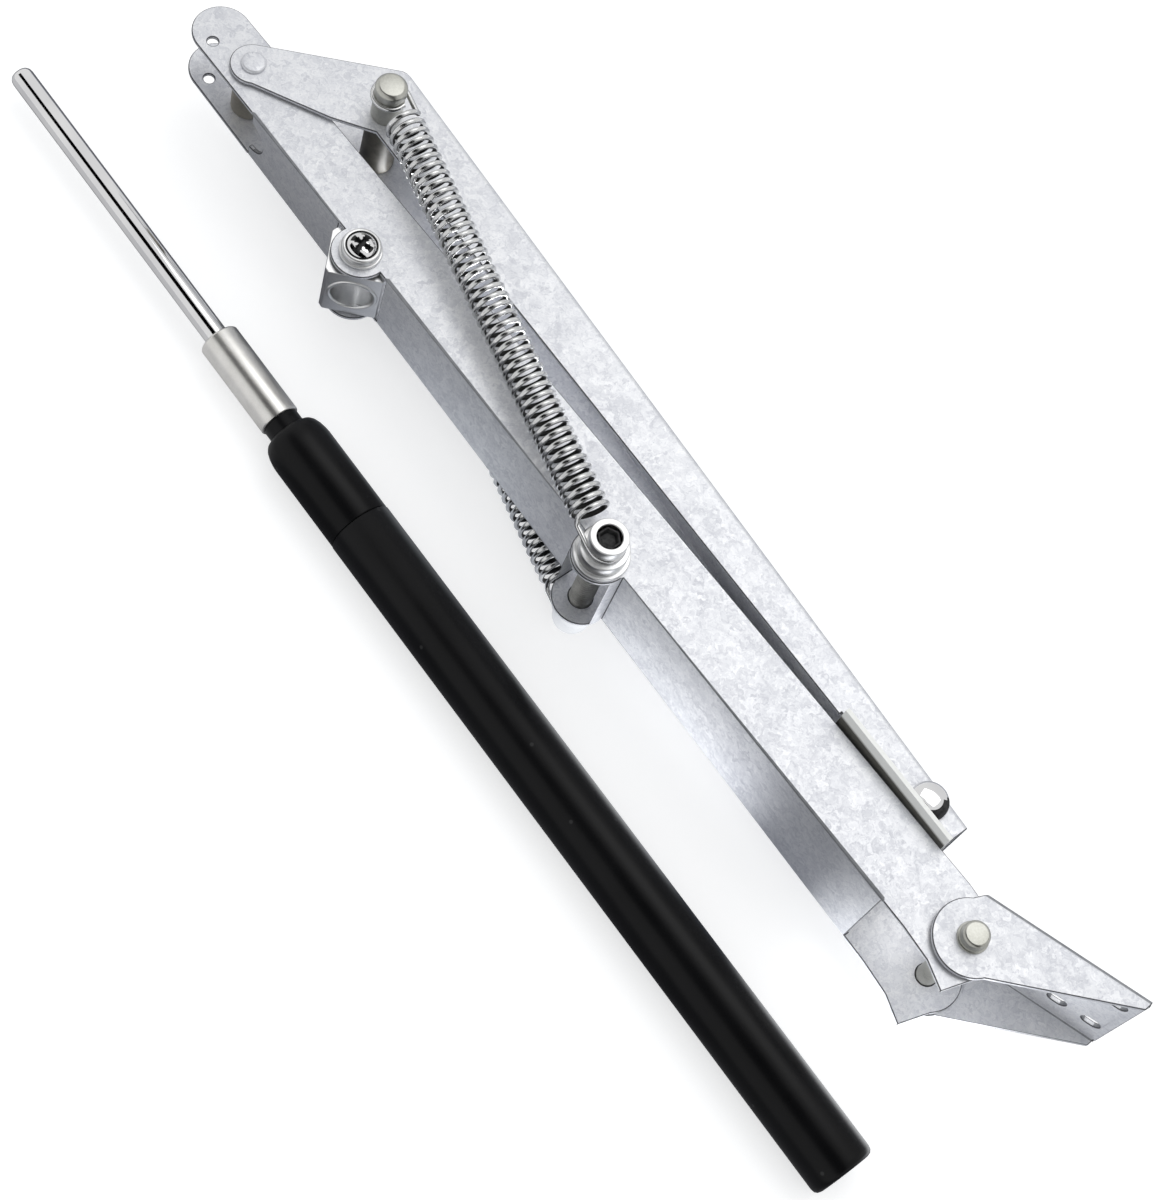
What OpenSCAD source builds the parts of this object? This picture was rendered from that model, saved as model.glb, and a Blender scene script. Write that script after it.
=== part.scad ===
// Greenhouse vent opener: two galvanised arms, springs and a loose thermal cylinder.
// The arms lie on their side with the pivot axes upright. Sizes are in millimetres.

/* [Arms] */
// distance from the elbow axis to the frame pivot axis
arm_length = 365; // [340:1:390]
// how far the frame pivot lies to the side of the arm's centre line
frame_pivot_side = 3.6; // [2:0.1:5]
// sheet thickness of both arms
sheet = 1.5; // [1.2:0.1:1.8]
// outside height of the lower arm at the elbow
elbow_height = 23.8; // [22.5:0.1:25]
// outside height of the lower arm at the frame pivot
frame_height = 43; // [41:0.1:44]
// distance from the elbow axis to the outside of the lower arm's web
web_offset = 10.5; // [10:0.1:11.5]
// flange reach on the open side at the elbow
reach_elbow = 9.8; // [9:0.1:10.5]
// flange reach on the open side at the frame pivot
reach_frame = 15.6; // [14:0.1:15.8]
// length of the ears beyond the elbow axis
ear_length = 17; // [15:0.5:20]
// diameter of the small holes in the ears
ear_hole = 3.8; // [3:0.1:4.5]
// gap between the flanges of the two arms
arm_gap = 0.5; // [0.4:0.05:0.8]

/* [Elbow and pins] */
// diameter of the elbow pin's shaft
elbow_pin_d = 6; // [5:0.1:6.6]
// diameter of the elbow pin's heads
elbow_head_d = 8.4; // [8:0.1:9.4]
// outside diameter of the elbow spacer
spacer_d = 12; // [10:0.1:13]
// diameter of the frame pivot pin's shaft
frame_pin_d = 7; // [6:0.1:7.6]
// radial clearance of the pins in their holes
pin_play = 0.05; // [0.03:0.01:0.08]
// how far the lower pin ends stand below the middle plane
rest_height = 33; // [32.6:0.1:36]
// how far the upper pin ends stand above the middle plane
top_height = 31.5; // [30:0.1:33]

/* [Springs] */
// spring pin along the arm from the elbow
pin_x = 38.3; // [36:0.1:42]
// spring pin across the arm from the elbow
pin_y = 26.1; // [24:0.1:28]
// spring bolt along the arm from the elbow
bolt_x = 204; // [195:0.5:215]
// spring bolt across the arm from the elbow
bolt_y = -12; // [-13:0.1:-11]
// height of the spring axes from the middle plane
spring_height = 25.5; // [25:0.1:25.8]
// outside diameter of the springs
spring_d = 13.4; // [12:0.1:13.8]
// wire diameter of the springs
wire_d = 1.8; // [1.4:0.1:1.9]
// turns of each spring
spring_turns = 44; // [30:1:44]
// diameter of the grooves that hold the spring ends
groove_d = 9; // [8.4:0.1:9.2]
// diameter of the push roller
roller_d = 12; // [11:0.1:13]

/* [Trunnion] */
// trunnion along the arm from the elbow
trunnion_x = 76; // [72:0.5:84]
// trunnion across the arm from the elbow
trunnion_y = -11.3; // [-12:0.1:-10.6]
// width of the trunnion block across its hole
block_width = 20; // [18:0.5:21]
// depth of the trunnion block along its hole
block_depth = 17; // [15:0.5:18]
// diameter of the threaded hole for the cylinder neck
socket_d = 14; // [13:0.1:14.4]
// radius of the lobes that carry the trunnion and the spring bolt
lobe_radius = 9.7; // [9.4:0.1:10.5]

/* [Upper arm] */
// how far the upper arm's end stays short of the frame pivot
upper_gap = 26.6; // [24:0.2:40]
// length of the vent clip plate
clip_length = 50; // [45:0.5:56]
// thickness of the vent clip plate
clip_sheet = 1.5; // [1.2:0.1:1.6]
// height of the clip's raised edge above the middle plane
clip_top = 27.5; // [26.5:0.1:29]
// shaft diameter of the vent clip bolt
clip_bolt_d = 5; // [4:0.1:5.2]

/* [Frame bracket] */
// sheet thickness of the bracket
bracket_sheet = 1.8; // [1.5:0.1:2]
// angle between the bracket's wall and the lower arm
wall_angle = 20.6; // [20:0.1:22]
// length of the bracket's wall
wall_length = 58.2; // [54:0.1:64]
// distance from the pivot axis to the outside of the wall
wall_offset = 15.2; // [15:0.1:16]
// distance between the slots along the wall
slot_pitch = 12.4; // [11:0.1:14]
// distance between the slot rows
slot_rows = 22; // [18:0.5:26]
// slot length from end to end
slot_length = 6.6; // [6:0.1:7.4]
// slot width
slot_width = 4.6; // [4:0.1:5]

/* [Cylinder] */
// outside diameter of the cylinder tube
tube_d = 22; // [21:0.1:23]
// wall thickness of the tube
tube_wall = 1.5; // [1.2:0.1:1.8]
// length of the tube behind the cap's seam
tube_length = 253; // [240:1:270]
// length of the cap with its shoulder
cap_length = 39.3; // [36:0.1:44]
// diameter of the rod
rod_d = 8; // [7:0.1:8.4]
// length of the rod that stands out of the sleeve
rod_out = 118.8; // [100:0.2:130]
// length of the threaded sleeve
sleeve_length = 35.5; // [30:0.5:40]
// stroke of the piston
stroke = 65; // [50:1:65]
// distance of the cylinder's axis from the arm's centre line
cylinder_side = 54.6; // [50:0.2:60]
// turn of the cylinder against the arm
cylinder_turn = 0.35; // [0:0.05:0.5]
// where the rod's tip lies along the arm
rod_tip_x = -55.2; // [-70:0.2:-40]

/* [Place] */
// where the elbow axis lies along the bracket's wall
place_x = -163.875; // [-200:0.005:0]
// where the elbow axis lies across the bracket's wall
place_y = 86.735; // [0:0.005:150]

/* [Hidden] */
$fn = 64;

galvanised = [0.78, 0.79, 0.82];
zinc = [0.72, 0.72, 0.70];
steel = [0.60, 0.60, 0.57];
grey = [0.55, 0.55, 0.56];
dark = [0.20, 0.18, 0.16];
black = [0.08, 0.08, 0.09];

// small gap left between faces that seat on each other
seat = 0.02;
// rise of the flanges along the arm
rise = (frame_height - elbow_height) / 2 / arm_length;
taper = atan(rise);
// height of the lower arm's outer face and of the upper arm's outer face
function low_z(x) = elbow_height / 2 + rise * x;
function up_z(x) = low_z(x) + arm_gap + sheet;
function edge_y(x) = reach_elbow + (reach_frame - reach_elbow) * x / arm_length;

// seats of pins and washers on the sloping flanges
function low_seat(x, r) = low_z(x) + rise * r + seat;
function up_seat(x, r) = up_z(x) + rise * r + seat;

elbow_hole_r = elbow_pin_d / 2 + pin_play;
frame_hole_r = frame_pin_d / 2 + pin_play;
ear_r = (web_offset + edge_y(-ear_length)) / 2;
ear_y = (edge_y(-ear_length) - web_offset) / 2;

// windows in the lower arm's web
window_r = max(block_width, block_depth) / 2 + 3;
block_round = max(block_width, block_depth) / 2 + 2.2;
bolt_window = 9;
web_start = 15;
web_cut = 25;
web_end = arm_length - web_cut;
// reach of the cutting outlines beyond the arms
span = 1.4 * arm_length;
lead = arm_length / 4;

// frame pivot pin
pivot_collar_r = 5.4;
pivot_collar_h = 1.5;
pivot_stub_r = 4.1;
pivot_chamfer = 0.9;
pivot_drop = 2.9;

// spring pin and bolt
spring_pin_d = 8;
pin_body_r = 5.2;
pin_head_r = 5.4;
pin_chamfer = 1.2;
bolt_d = 8;
post_ring_d = 12.6;
post_collar_d = 16;
washer_d = 18.4;
washer_h = 1.5;
groove_h = wire_d + 1.4;
spring_gap = 0.3;
coil_r = (spring_d - wire_d) / 2;
loop_r = groove_d / 2 + wire_d / 2 + spring_gap;
spring_len = sqrt((bolt_x - pin_x) * (bolt_x - pin_x) + (bolt_y - pin_y) * (bolt_y - pin_y));
spring_turn = atan2(pin_y - bolt_y, pin_x - bolt_x);
coil_start = washer_d / 2 + wire_d / 2 + 0.4;
coil_end = spring_len - coil_start;

// trunnion
bore_turn = atan2(trunnion_y - pin_y, trunnion_x - pin_x);
block_half = low_z(trunnion_x - block_round) - sheet - 0.4;
trunnion_screw_d = 5;
trunnion_head_d = 13.4;
trunnion_washer_d = 15.8;
trunnion_washer_h = 1.2;
screw_end = socket_d / 2 + 0.9;

// upper arm outline
upper_length = arm_length - upper_gap;
wedge_x = pin_x - 10.1;
wedge_y = pin_y + 16.4;
upper_end_y = 26.1;
upper_turn = atan2(upper_end_y - wedge_y, upper_length - wedge_x);
// the clip plate stands clear of the lower arm's flange edges
clip_face = edge_y(upper_length) + 0.6;
clip_inner = clip_face + clip_sheet;
clip_x = upper_length - clip_length;
clip_bolt_x = upper_length - 13.4;
clip_bolt_y = clip_inner + clip_bolt_d / 2 + 0.9;
clip_head_r = 6.3;
clip_low = up_z(clip_x) - 0.5;

// frame bracket
bracket_in = low_z(arm_length + 14) + 0.3;
bracket_out = bracket_in + bracket_sheet;
bracket_r = 12.5;
wall_start = -1.9;
wall_end = wall_start + wall_length;
slot_edge = 6.4;

// cylinder
tube_r = tube_d / 2;
tube_in = tube_r - tube_wall;
sleeve_r = socket_d / 2 - pin_play;
nose_r = sleeve_r - 1.4;
rod_r = rod_d / 2;
neck_x = rod_out + sleeve_length;
shoulder_x = neck_x + 5.4;
cap_end = shoulder_x + cap_length;
tube_end = cap_end + tube_length;
cap_r = tube_r - 0.15;
spigot = 16;
piston_x = cap_end + spigot + 10;
piston_h = 15;
seal_x = 5;
seal_h = 3;
seal_depth = 1.8;
seal_play = 0.1;
wax_x = piston_x + piston_h + stroke + 5;
plug_h = 6;

// puts the arm frame on the floor with the bracket's wall along the first axis
module lay() {
    translate([place_x, place_y, rest_height])
        rotate([0, 0, -wall_angle])
            children();
}

// copies a part to the other side of the middle plane
module both_sides() {
    children();
    mirror([0, 0, 1])
        children();
}

module post(x, y, d, z0, z1) {
    translate([x, y, z0])
        cylinder(d = d, h = z1 - z0);
}

module through(x, y, r) {
    translate([x, y, -60])
        cylinder(r = r, h = 120);
}

// plate that rises with the flanges, its outer face at height z over the elbow
module sloped(z, thick) {
    translate([0, 0, z])
        rotate([0, -taper, 0])
            translate([0, 0, -thick])
                linear_extrude(height = thick)
                    children();
}

// part of a plan outline between two planes that rise with the flanges, grown by an offset
module slab(grow) {
    intersection() {
        linear_extrude(height = 150, center = true)
            children();
        rotate([90, 0, 0])
            linear_extrude(height = span, center = true)
                polygon([[-lead, -low_z(-lead) - grow],
                         [span, -low_z(span) - grow],
                         [span, low_z(span) + grow],
                         [-lead, low_z(-lead) + grow]]);
    }
}

module lower_flange_plan() {
    difference() {
        union() {
            polygon([[-ear_length, -web_offset],
                     [arm_length - 15, -web_offset],
                     [arm_length - 3, -web_offset - 0.8],
                     [arm_length + 6.6, -web_offset - 3.7],
                     [arm_length + 10.5, frame_pivot_side - 5],
                     [arm_length, frame_pivot_side],
                     [arm_length - 3.5, frame_pivot_side + 11],
                     [arm_length - 13, edge_y(arm_length - 13)],
                     [-ear_length, edge_y(-ear_length)]]);
            translate([-ear_length, ear_y])
                circle(r = ear_r + 0.03);
            translate([arm_length, frame_pivot_side])
                circle(r = 12);
            translate([trunnion_x, trunnion_y])
                circle(r = lobe_radius);
            translate([bolt_x, bolt_y])
                circle(r = lobe_radius);
        }
        translate([-ear_length + 1.8, ear_y - 5])
            circle(d = ear_hole);
    }
}

// inside of the lower arm in plan: the open side, the two windows and the cut-away ends of the web
module lower_void_plan() {
    inside = sheet - web_offset;
    translate([-lead, inside])
        square([lead + span, lead]);
    translate([-lead, -lead])
        square([lead + web_start, lead + inside + 1]);
    translate([web_end, -lead])
        square([lead, lead + inside + 1]);
    translate([trunnion_x - window_r, -lead])
        square([2 * window_r, lead + inside + 1]);
    translate([bolt_x - bolt_window, -lead])
        square([2 * bolt_window, lead + inside + 1]);
}

module lower_arm() {
    color(galvanised)
        lay()
            difference() {
                slab(0)
                    lower_flange_plan();
                slab(-sheet)
                    lower_void_plan();
                translate([web_start, 0, 0])
                    rotate([90, 0, 0])
                        cylinder(r = 7, h = 60, center = true);
                through(0, 0, elbow_hole_r);
                through(arm_length, frame_pivot_side, frame_hole_r);
                through(bolt_x, bolt_y, bolt_d / 2 + pin_play);
                through(trunnion_x, trunnion_y, trunnion_screw_d / 2 + pin_play);
            }
}

module elbow_spacer() {
    half = low_z(-spacer_d / 2) - sheet - 0.1;
    color(dark)
        lay()
            difference() {
                post(0, 0, spacer_d, -half, half);
                through(0, 0, elbow_hole_r);
            }
}

module spring_bolt() {
    color(steel)
        lay()
            post(bolt_x, bolt_y, bolt_d, -spring_height - groove_h / 2, spring_height + groove_h / 2);
}

// grooved post from its washer to its free end
module spring_post(z1) {
    z0 = low_seat(bolt_x, washer_d / 2) + washer_h;
    difference() {
        union() {
            post(bolt_x, bolt_y, post_collar_d, z0, spring_height - groove_h / 2);
            post(bolt_x, bolt_y, groove_d, z0, z1 - 0.5);
            post(bolt_x, bolt_y, post_ring_d, spring_height + groove_h / 2, z1);
        }
        post(bolt_x, bolt_y, bolt_d + 2 * pin_play, z0 - 1, spring_height + groove_h / 2 + 0.3);
        translate([bolt_x, bolt_y, spring_height])
            cylinder(d = bolt_d - 0.6, h = 20, $fn = 6);
    }
}

module spring_posts() {
    color(zinc)
        lay() {
            spring_post(top_height);
            mirror([0, 0, 1])
                spring_post(rest_height);
        }
}

module spring_post_washers() {
    z0 = low_seat(bolt_x, washer_d / 2);
    color(zinc)
        lay()
            both_sides()
                difference() {
                    post(bolt_x, bolt_y, washer_d, z0, z0 + washer_h);
                    through(bolt_x, bolt_y, bolt_d / 2 + pin_play);
                }
}

module frame_pivot_pin() {
    color(steel)
        lay()
            translate([arm_length, frame_pivot_side, 0])
                rotate_extrude()
                    polygon([[0, -rest_height],
                             [pivot_stub_r - pivot_chamfer, -rest_height],
                             [pivot_stub_r, -rest_height + pivot_chamfer],
                             [pivot_stub_r, -bracket_out - pivot_collar_h],
                             [pivot_collar_r, -bracket_out - pivot_collar_h],
                             [pivot_collar_r, -bracket_out - seat],
                             [frame_pin_d / 2, -bracket_out - seat],
                             [frame_pin_d / 2, bracket_out + seat],
                             [pivot_collar_r, bracket_out + seat],
                             [pivot_collar_r, bracket_out + pivot_collar_h],
                             [pivot_stub_r, bracket_out + pivot_collar_h],
                             [pivot_stub_r, top_height - pivot_drop - pivot_chamfer],
                             [pivot_stub_r - pivot_chamfer, top_height - pivot_drop],
                             [0, top_height - pivot_drop]]);
}

module upper_flange_plan() {
    polygon([[1.6, -7.6],
             [wedge_x + 1.8, 9.3],
             [pin_x + 4.3, pin_y - 7],
             [pin_x + 15.7, pin_y - 7.3],
             [clip_x - 1, edge_y(clip_x) + 1.9],
             [clip_x - 1, clip_inner + seat],
             [upper_length, clip_inner + seat],
             [upper_length, upper_end_y],
             [wedge_x + 2.4, wedge_y - 0.13],
             [wedge_x - 0.6, wedge_y - 1.6],
             [-5.2, 5.9]]);
    circle(r = 7.8);
}

// inside of the upper arm in plan, up to the inner face of its web
function upper_web_y(x) = wedge_y + tan(upper_turn) * (x - wedge_x) - sheet / cos(upper_turn);
module upper_void_plan() {
    polygon([[-100, -100],
             [upper_length + 50, -100],
             [upper_length + 50, upper_web_y(upper_length + 50)],
             [wedge_x + 2.4, upper_web_y(wedge_x + 2.4)],
             [wedge_x + 2.4, 100],
             [-100, 100]]);
}

module upper_arm() {
    color(galvanised)
        lay()
            difference() {
                slab(arm_gap + sheet)
                    upper_flange_plan();
                slab(arm_gap)
                    upper_void_plan();
                through(0, 0, elbow_hole_r - 0.02);
                through(pin_x, pin_y, spring_pin_d / 2 + pin_play);
                through(clip_bolt_x, clip_bolt_y, clip_bolt_d / 2 + pin_play);
            }
}

module elbow_pin() {
    z0 = up_seat(0, elbow_head_d / 2);
    r = elbow_head_d / 2;
    color(steel)
        lay()
            rotate_extrude()
                polygon([[0, -z0 - 1.9],
                         [r - 0.9, -z0 - 1.9],
                         [r, -z0 - 1.1],
                         [r, -z0],
                         [elbow_pin_d / 2, -z0],
                         [elbow_pin_d / 2, z0],
                         [r, z0],
                         [r, z0 + 1.1],
                         [r - 0.9, z0 + 1.9],
                         [0, z0 + 1.9]]);
}

module spring_pin() {
    z0 = up_seat(pin_x, pin_body_r);
    za = spring_height - groove_h / 2;
    zb = spring_height + groove_h / 2;
    color(steel)
        lay()
            translate([pin_x, pin_y, 0])
                rotate_extrude()
                    polygon([[0, -rest_height],
                             [pin_head_r - pin_chamfer, -rest_height],
                             [pin_head_r, -rest_height + pin_chamfer],
                             [pin_head_r, -zb],
                             [groove_d / 2, -zb],
                             [groove_d / 2, -za],
                             [pin_body_r, -za],
                             [pin_body_r, -z0],
                             [spring_pin_d / 2, -z0],
                             [spring_pin_d / 2, z0],
                             [pin_body_r, z0],
                             [pin_body_r, za],
                             [groove_d / 2, za],
                             [groove_d / 2, zb],
                             [pin_head_r, zb],
                             [pin_head_r, top_height - pin_chamfer],
                             [pin_head_r - pin_chamfer, top_height],
                             [0, top_height]]);
}

module push_roller() {
    half = up_z(pin_x - roller_d / 2) - sheet - 0.3;
    color(dark)
        lay()
            difference() {
                post(pin_x, pin_y, roller_d, -half, half);
                through(pin_x, pin_y, spring_pin_d / 2 + pin_play);
            }
}

module vent_clip() {
    leg = clip_bolt_y + 4 - clip_inner + 0.5;
    color(zinc)
        lay()
            difference() {
                union() {
                    translate([clip_x, clip_face, -clip_low])
                        cube([clip_length, clip_sheet, clip_low + clip_top]);
                    both_sides()
                        sloped(elbow_height / 2 + arm_gap - seat, clip_sheet)
                            translate([clip_bolt_x - 11, clip_inner - 0.5])
                                square([22, leg]);
                }
                through(clip_bolt_x, clip_bolt_y, clip_bolt_d / 2 + pin_play);
            }
}

module vent_clip_bolt() {
    z0 = up_seat(clip_bolt_x, clip_head_r);
    dome_r = 9;
    color(steel)
        lay() {
            post(clip_bolt_x, clip_bolt_y, clip_bolt_d, -rest_height, z0 + 0.5);
            difference() {
                intersection() {
                    post(clip_bolt_x, clip_bolt_y, 2 * clip_head_r, z0, z0 + 6);
                    translate([clip_bolt_x, clip_bolt_y, z0 + 4 - dome_r])
                        sphere(r = dome_r);
                }
                translate([clip_bolt_x - 20, clip_inner + 0.1 - 20, z0 - 1])
                    cube([40, 20, 10]);
            }
        }
}

module vent_clip_nut() {
    z0 = up_seat(clip_bolt_x, 4.7);
    color(zinc)
        lay()
            difference() {
                translate([clip_bolt_x, clip_bolt_y, -z0 - 4])
                    cylinder(d = 9.2, h = 4, $fn = 6);
                through(clip_bolt_x, clip_bolt_y, clip_bolt_d / 2 + pin_play);
            }
}

// bracket drawn from the pivot axis with its wall along the first axis
module bracket_plan() {
    circle(r = bracket_r);
    polygon([[wall_start, wall_offset],
             [wall_end, wall_offset],
             [wall_end - 1.3, wall_offset - 4],
             [7.4, -9.4],
             [0, 0],
             [-7.4, 9.2]]);
}

module frame_bracket() {
    color(galvanised)
        lay()
            translate([arm_length, frame_pivot_side, 0])
                rotate([0, 0, wall_angle])
                    difference() {
                        union() {
                            both_sides()
                                translate([0, 0, bracket_in])
                                    linear_extrude(height = bracket_sheet)
                                        bracket_plan();
                            translate([wall_start, wall_offset - bracket_sheet, -bracket_in - 0.1])
                                cube([wall_length, bracket_sheet, 2 * bracket_in + 0.2]);
                        }
                        cylinder(r = frame_hole_r, h = 120, center = true);
                        for (i = [0, 1], j = [-1, 1])
                            translate([wall_end - slot_edge - i * slot_pitch, wall_offset, j * slot_rows / 2])
                                rotate([90, 0, 0])
                                    wall_slot();
                    }
}

module wall_slot() {
    reach = (slot_length - slot_width) / 2;
    translate([-reach, 0, -5])
        cylinder(d = slot_width, h = 10);
    translate([reach, 0, -5])
        cylinder(d = slot_width, h = 10);
    translate([-reach, -slot_width / 2, -5])
        cube([2 * reach, slot_width, 10]);
}

module trunnion_block() {
    color(grey)
        lay()
            translate([trunnion_x, trunnion_y, 0])
                difference() {
                    intersection() {
                        rotate([0, 0, bore_turn])
                            cube([block_depth, block_width, 2 * block_half], center = true);
                        cylinder(r = block_round, h = 60, center = true);
                    }
                    rotate([0, 0, bore_turn])
                        rotate([0, 90, 0])
                            cylinder(d = socket_d, h = 60, center = true);
                    both_sides()
                        translate([0, 0, screw_end - 0.2])
                            cylinder(d = trunnion_screw_d + 2 * pin_play, h = 20);
                }
}

module trunnion_screws() {
    z0 = low_seat(trunnion_x, trunnion_washer_d / 2) + trunnion_washer_h;
    dome_r = 14;
    color(zinc)
        lay()
            both_sides()
                difference() {
                    union() {
                        post(trunnion_x, trunnion_y, trunnion_screw_d, screw_end, z0 + 0.5);
                        intersection() {
                            post(trunnion_x, trunnion_y, trunnion_head_d, z0, z0 + 6);
                            translate([trunnion_x, trunnion_y, z0 + 4 - dome_r])
                                sphere(r = dome_r);
                        }
                    }
                    for (a = [0, 90])
                        translate([trunnion_x, trunnion_y, z0 + 3.3])
                            rotate([0, 0, bore_turn + 30 + a])
                                cube([7.6, 1.8, 3], center = true);
                }
}

module trunnion_washers() {
    z0 = low_seat(trunnion_x, trunnion_washer_d / 2);
    color(zinc)
        lay()
            both_sides()
                difference() {
                    post(trunnion_x, trunnion_y, trunnion_washer_d, z0, z0 + trunnion_washer_h);
                    through(trunnion_x, trunnion_y, trunnion_screw_d / 2 + pin_play);
                }
}

// wire swept along a list of points with a six-sided section
function unit(v) = v / norm(v);
function tangents(p) = [for (i = [0:len(p) - 1])
    unit(p[min(i + 1, len(p) - 1)] - p[max(i - 1, 0)])];
function carried(n, t) = unit(n - (n * t) * t);
module wire(p, n0) {
    sides = 6;
    t = tangents(p);
    count = len(p);
    normals = [for (i = 0, n = carried(n0, t[0]); i < count;
        i = i + 1, n = carried(n, t[min(i, count - 1)])) n];
    rings = [for (i = [0:count - 1], j = [0:sides - 1])
        p[i] + wire_d / 2 * (cos(360 * j / sides) * normals[i]
                             + sin(360 * j / sides) * cross(t[i], normals[i]))];
    lower = [for (i = [0:count - 2], j = [0:sides - 1])
        [i * sides + j, (i + 1) * sides + j, i * sides + (j + 1) % sides]];
    upper = [for (i = [0:count - 2], j = [0:sides - 1])
        [i * sides + (j + 1) % sides, (i + 1) * sides + j, (i + 1) * sides + (j + 1) % sides]];
    end = (count - 1) * sides;
    first = [for (j = [1:sides - 2]) [0, j, j + 1]];
    last = [for (j = [1:sides - 2]) [end, end + j + 1, end + j]];
    polyhedron(points = rings, faces = concat(lower, upper, first, last), convexity = 10);
}

// spring drawn along the first axis from the bolt at the origin
steps = 9;
hook_path = [for (a = [-210:20:90]) [-loop_r * cos(a), loop_r * sin(a), 0]];
coil_path = [for (i = [0:steps * spring_turns])
    [coil_start + (coil_end - coil_start) * i / steps / spring_turns,
     coil_r * cos(360 * i / steps), coil_r * sin(360 * i / steps)]];
lead_in = [[coil_start - 3.6, loop_r, 0],
           [coil_start - 1.4, coil_r, -0.25]];
lead_out = [[coil_end + 1.4, coil_r, 0.25],
            [coil_end + 2.1, loop_r, 0],
            [coil_end + 2.6, loop_r, 0]];
eye_path = concat([[coil_end + 2.7, loop_r, 0]],
                  [for (a = [90:-20:-210]) [spring_len + loop_r * cos(a), loop_r * sin(a), 0]]);

module spring_place(side) {
    translate([bolt_x, bolt_y, side * spring_height])
        rotate([0, 0, spring_turn])
            children();
}

module spring_coil() {
    wire(concat(hook_path, lead_in, coil_path, lead_out), [0, 0, 1]);
}

module spring_eye() {
    wire(eye_path, [0, 0, 1]);
}

module front_spring() {
    color(steel)
        lay()
            spring_place(1)
                spring_coil();
}

module rear_spring() {
    color(steel)
        lay()
            spring_place(-1)
                spring_coil();
}

module front_spring_eye() {
    color(steel)
        lay()
            spring_place(1)
                spring_eye();
}

module rear_spring_eye() {
    color(steel)
        lay()
            spring_place(-1)
                spring_eye();
}

// cylinder drawn along the first axis from the rod's tip
module cylinder_place() {
    lay()
        translate([0, -cylinder_side, tube_r - rest_height])
            rotate([0, 0, -cylinder_turn])
                translate([rod_tip_x, 0, 0])
                    rotate([0, 90, 0])
                        children();
}

module turned(points) {
    rotate_extrude()
        polygon(points);
}

module cylinder_tube() {
    color(black)
        cylinder_place()
            turned([[tube_in, cap_end + seat],
                    [tube_r, cap_end + seat],
                    [tube_r, tube_end - 2.5],
                    [tube_r - 0.7, tube_end - 0.7],
                    [tube_r - 2.5, tube_end],
                    [tube_in - 2, tube_end],
                    [tube_in - 2, tube_end - 1.5],
                    [tube_in, tube_end - 1.5]]);
}

module cylinder_cap() {
    bush_r = rod_r + 3 + pin_play;
    color(black)
        cylinder_place()
            turned([[rod_r + 0.3, rod_out + 2],
                    [nose_r, rod_out + 2],
                    [nose_r, neck_x + seat],
                    [6.3, neck_x + seat],
                    [6.3, shoulder_x],
                    [cap_r - 2.4, shoulder_x],
                    [cap_r - 1.1, shoulder_x + 1.8],
                    [cap_r - 0.3, shoulder_x + 4.4],
                    [cap_r, shoulder_x + 7.2],
                    [cap_r, cap_end],
                    [tube_in - pin_play, cap_end],
                    [tube_in - pin_play, cap_end + spigot],
                    [bush_r, cap_end + spigot],
                    [bush_r, shoulder_x + 4],
                    [rod_r + 0.3, shoulder_x + 4]]);
}

module threaded_sleeve() {
    color(grey)
        cylinder_place()
            turned([[nose_r + pin_play, rod_out],
                    [sleeve_r - 0.5, rod_out],
                    [sleeve_r, rod_out + 0.5],
                    [sleeve_r, neck_x],
                    [nose_r + pin_play, neck_x]]);
}

module rod_guide() {
    color(zinc)
        cylinder_place()
            turned([[rod_r + pin_play, shoulder_x + 4.1],
                    [rod_r + 3, shoulder_x + 4.1],
                    [rod_r + 3, cap_end + spigot - 4],
                    [rod_r + pin_play, cap_end + spigot - 4]]);
}

module tube_end_plug() {
    color(steel)
        cylinder_place()
            translate([0, 0, tube_end - 1.5 - plug_h])
                cylinder(r = tube_in - pin_play, h = plug_h - seat);
}

module wax_charge() {
    color([0.85, 0.82, 0.70])
        cylinder_place()
            translate([0, 0, wax_x])
                cylinder(r = tube_in - pin_play, h = tube_end - 1.5 - plug_h - wax_x - seat);
}

module piston_rod() {
    color(zinc)
        cylinder_place()
            turned([[0, 0],
                    [rod_r - 2, 0],
                    [rod_r - 0.6, 0.6],
                    [rod_r, 2],
                    [rod_r, piston_x + piston_h - 2],
                    [0, piston_x + piston_h - 2]]);
}

module piston_head() {
    color(steel)
        cylinder_place()
            turned([[rod_r + 0.02, piston_x],
                    [tube_in - pin_play, piston_x],
                    [tube_in - pin_play, piston_x + seal_x],
                    [tube_in - seal_depth, piston_x + seal_x],
                    [tube_in - seal_depth, piston_x + seal_x + seal_h],
                    [tube_in - pin_play, piston_x + seal_x + seal_h],
                    [tube_in - pin_play, piston_x + piston_h],
                    [0, piston_x + piston_h],
                    [0, piston_x + piston_h - 2 + seat],
                    [rod_r + 0.02, piston_x + piston_h - 2 + seat]]);
}

module piston_seal() {
    color(dark)
        cylinder_place()
            turned([[tube_in - seal_depth + seat, piston_x + seal_x + seal_play],
                    [tube_in - 0.03, piston_x + seal_x + seal_play],
                    [tube_in - 0.03, piston_x + seal_x + seal_h - seal_play],
                    [tube_in - seal_depth + seat, piston_x + seal_x + seal_h - seal_play]]);
}

lower_arm();
elbow_spacer();
spring_bolt();
spring_posts();
spring_post_washers();
frame_pivot_pin();
upper_arm();
elbow_pin();
spring_pin();
push_roller();
vent_clip();
vent_clip_bolt();
vent_clip_nut();
frame_bracket();
trunnion_block();
trunnion_screws();
trunnion_washers();
front_spring();
rear_spring();
front_spring_eye();
rear_spring_eye();
cylinder_tube();
cylinder_cap();
threaded_sleeve();
rod_guide();
tube_end_plug();
wax_charge();
piston_rod();
piston_head();
piston_seal();
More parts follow.
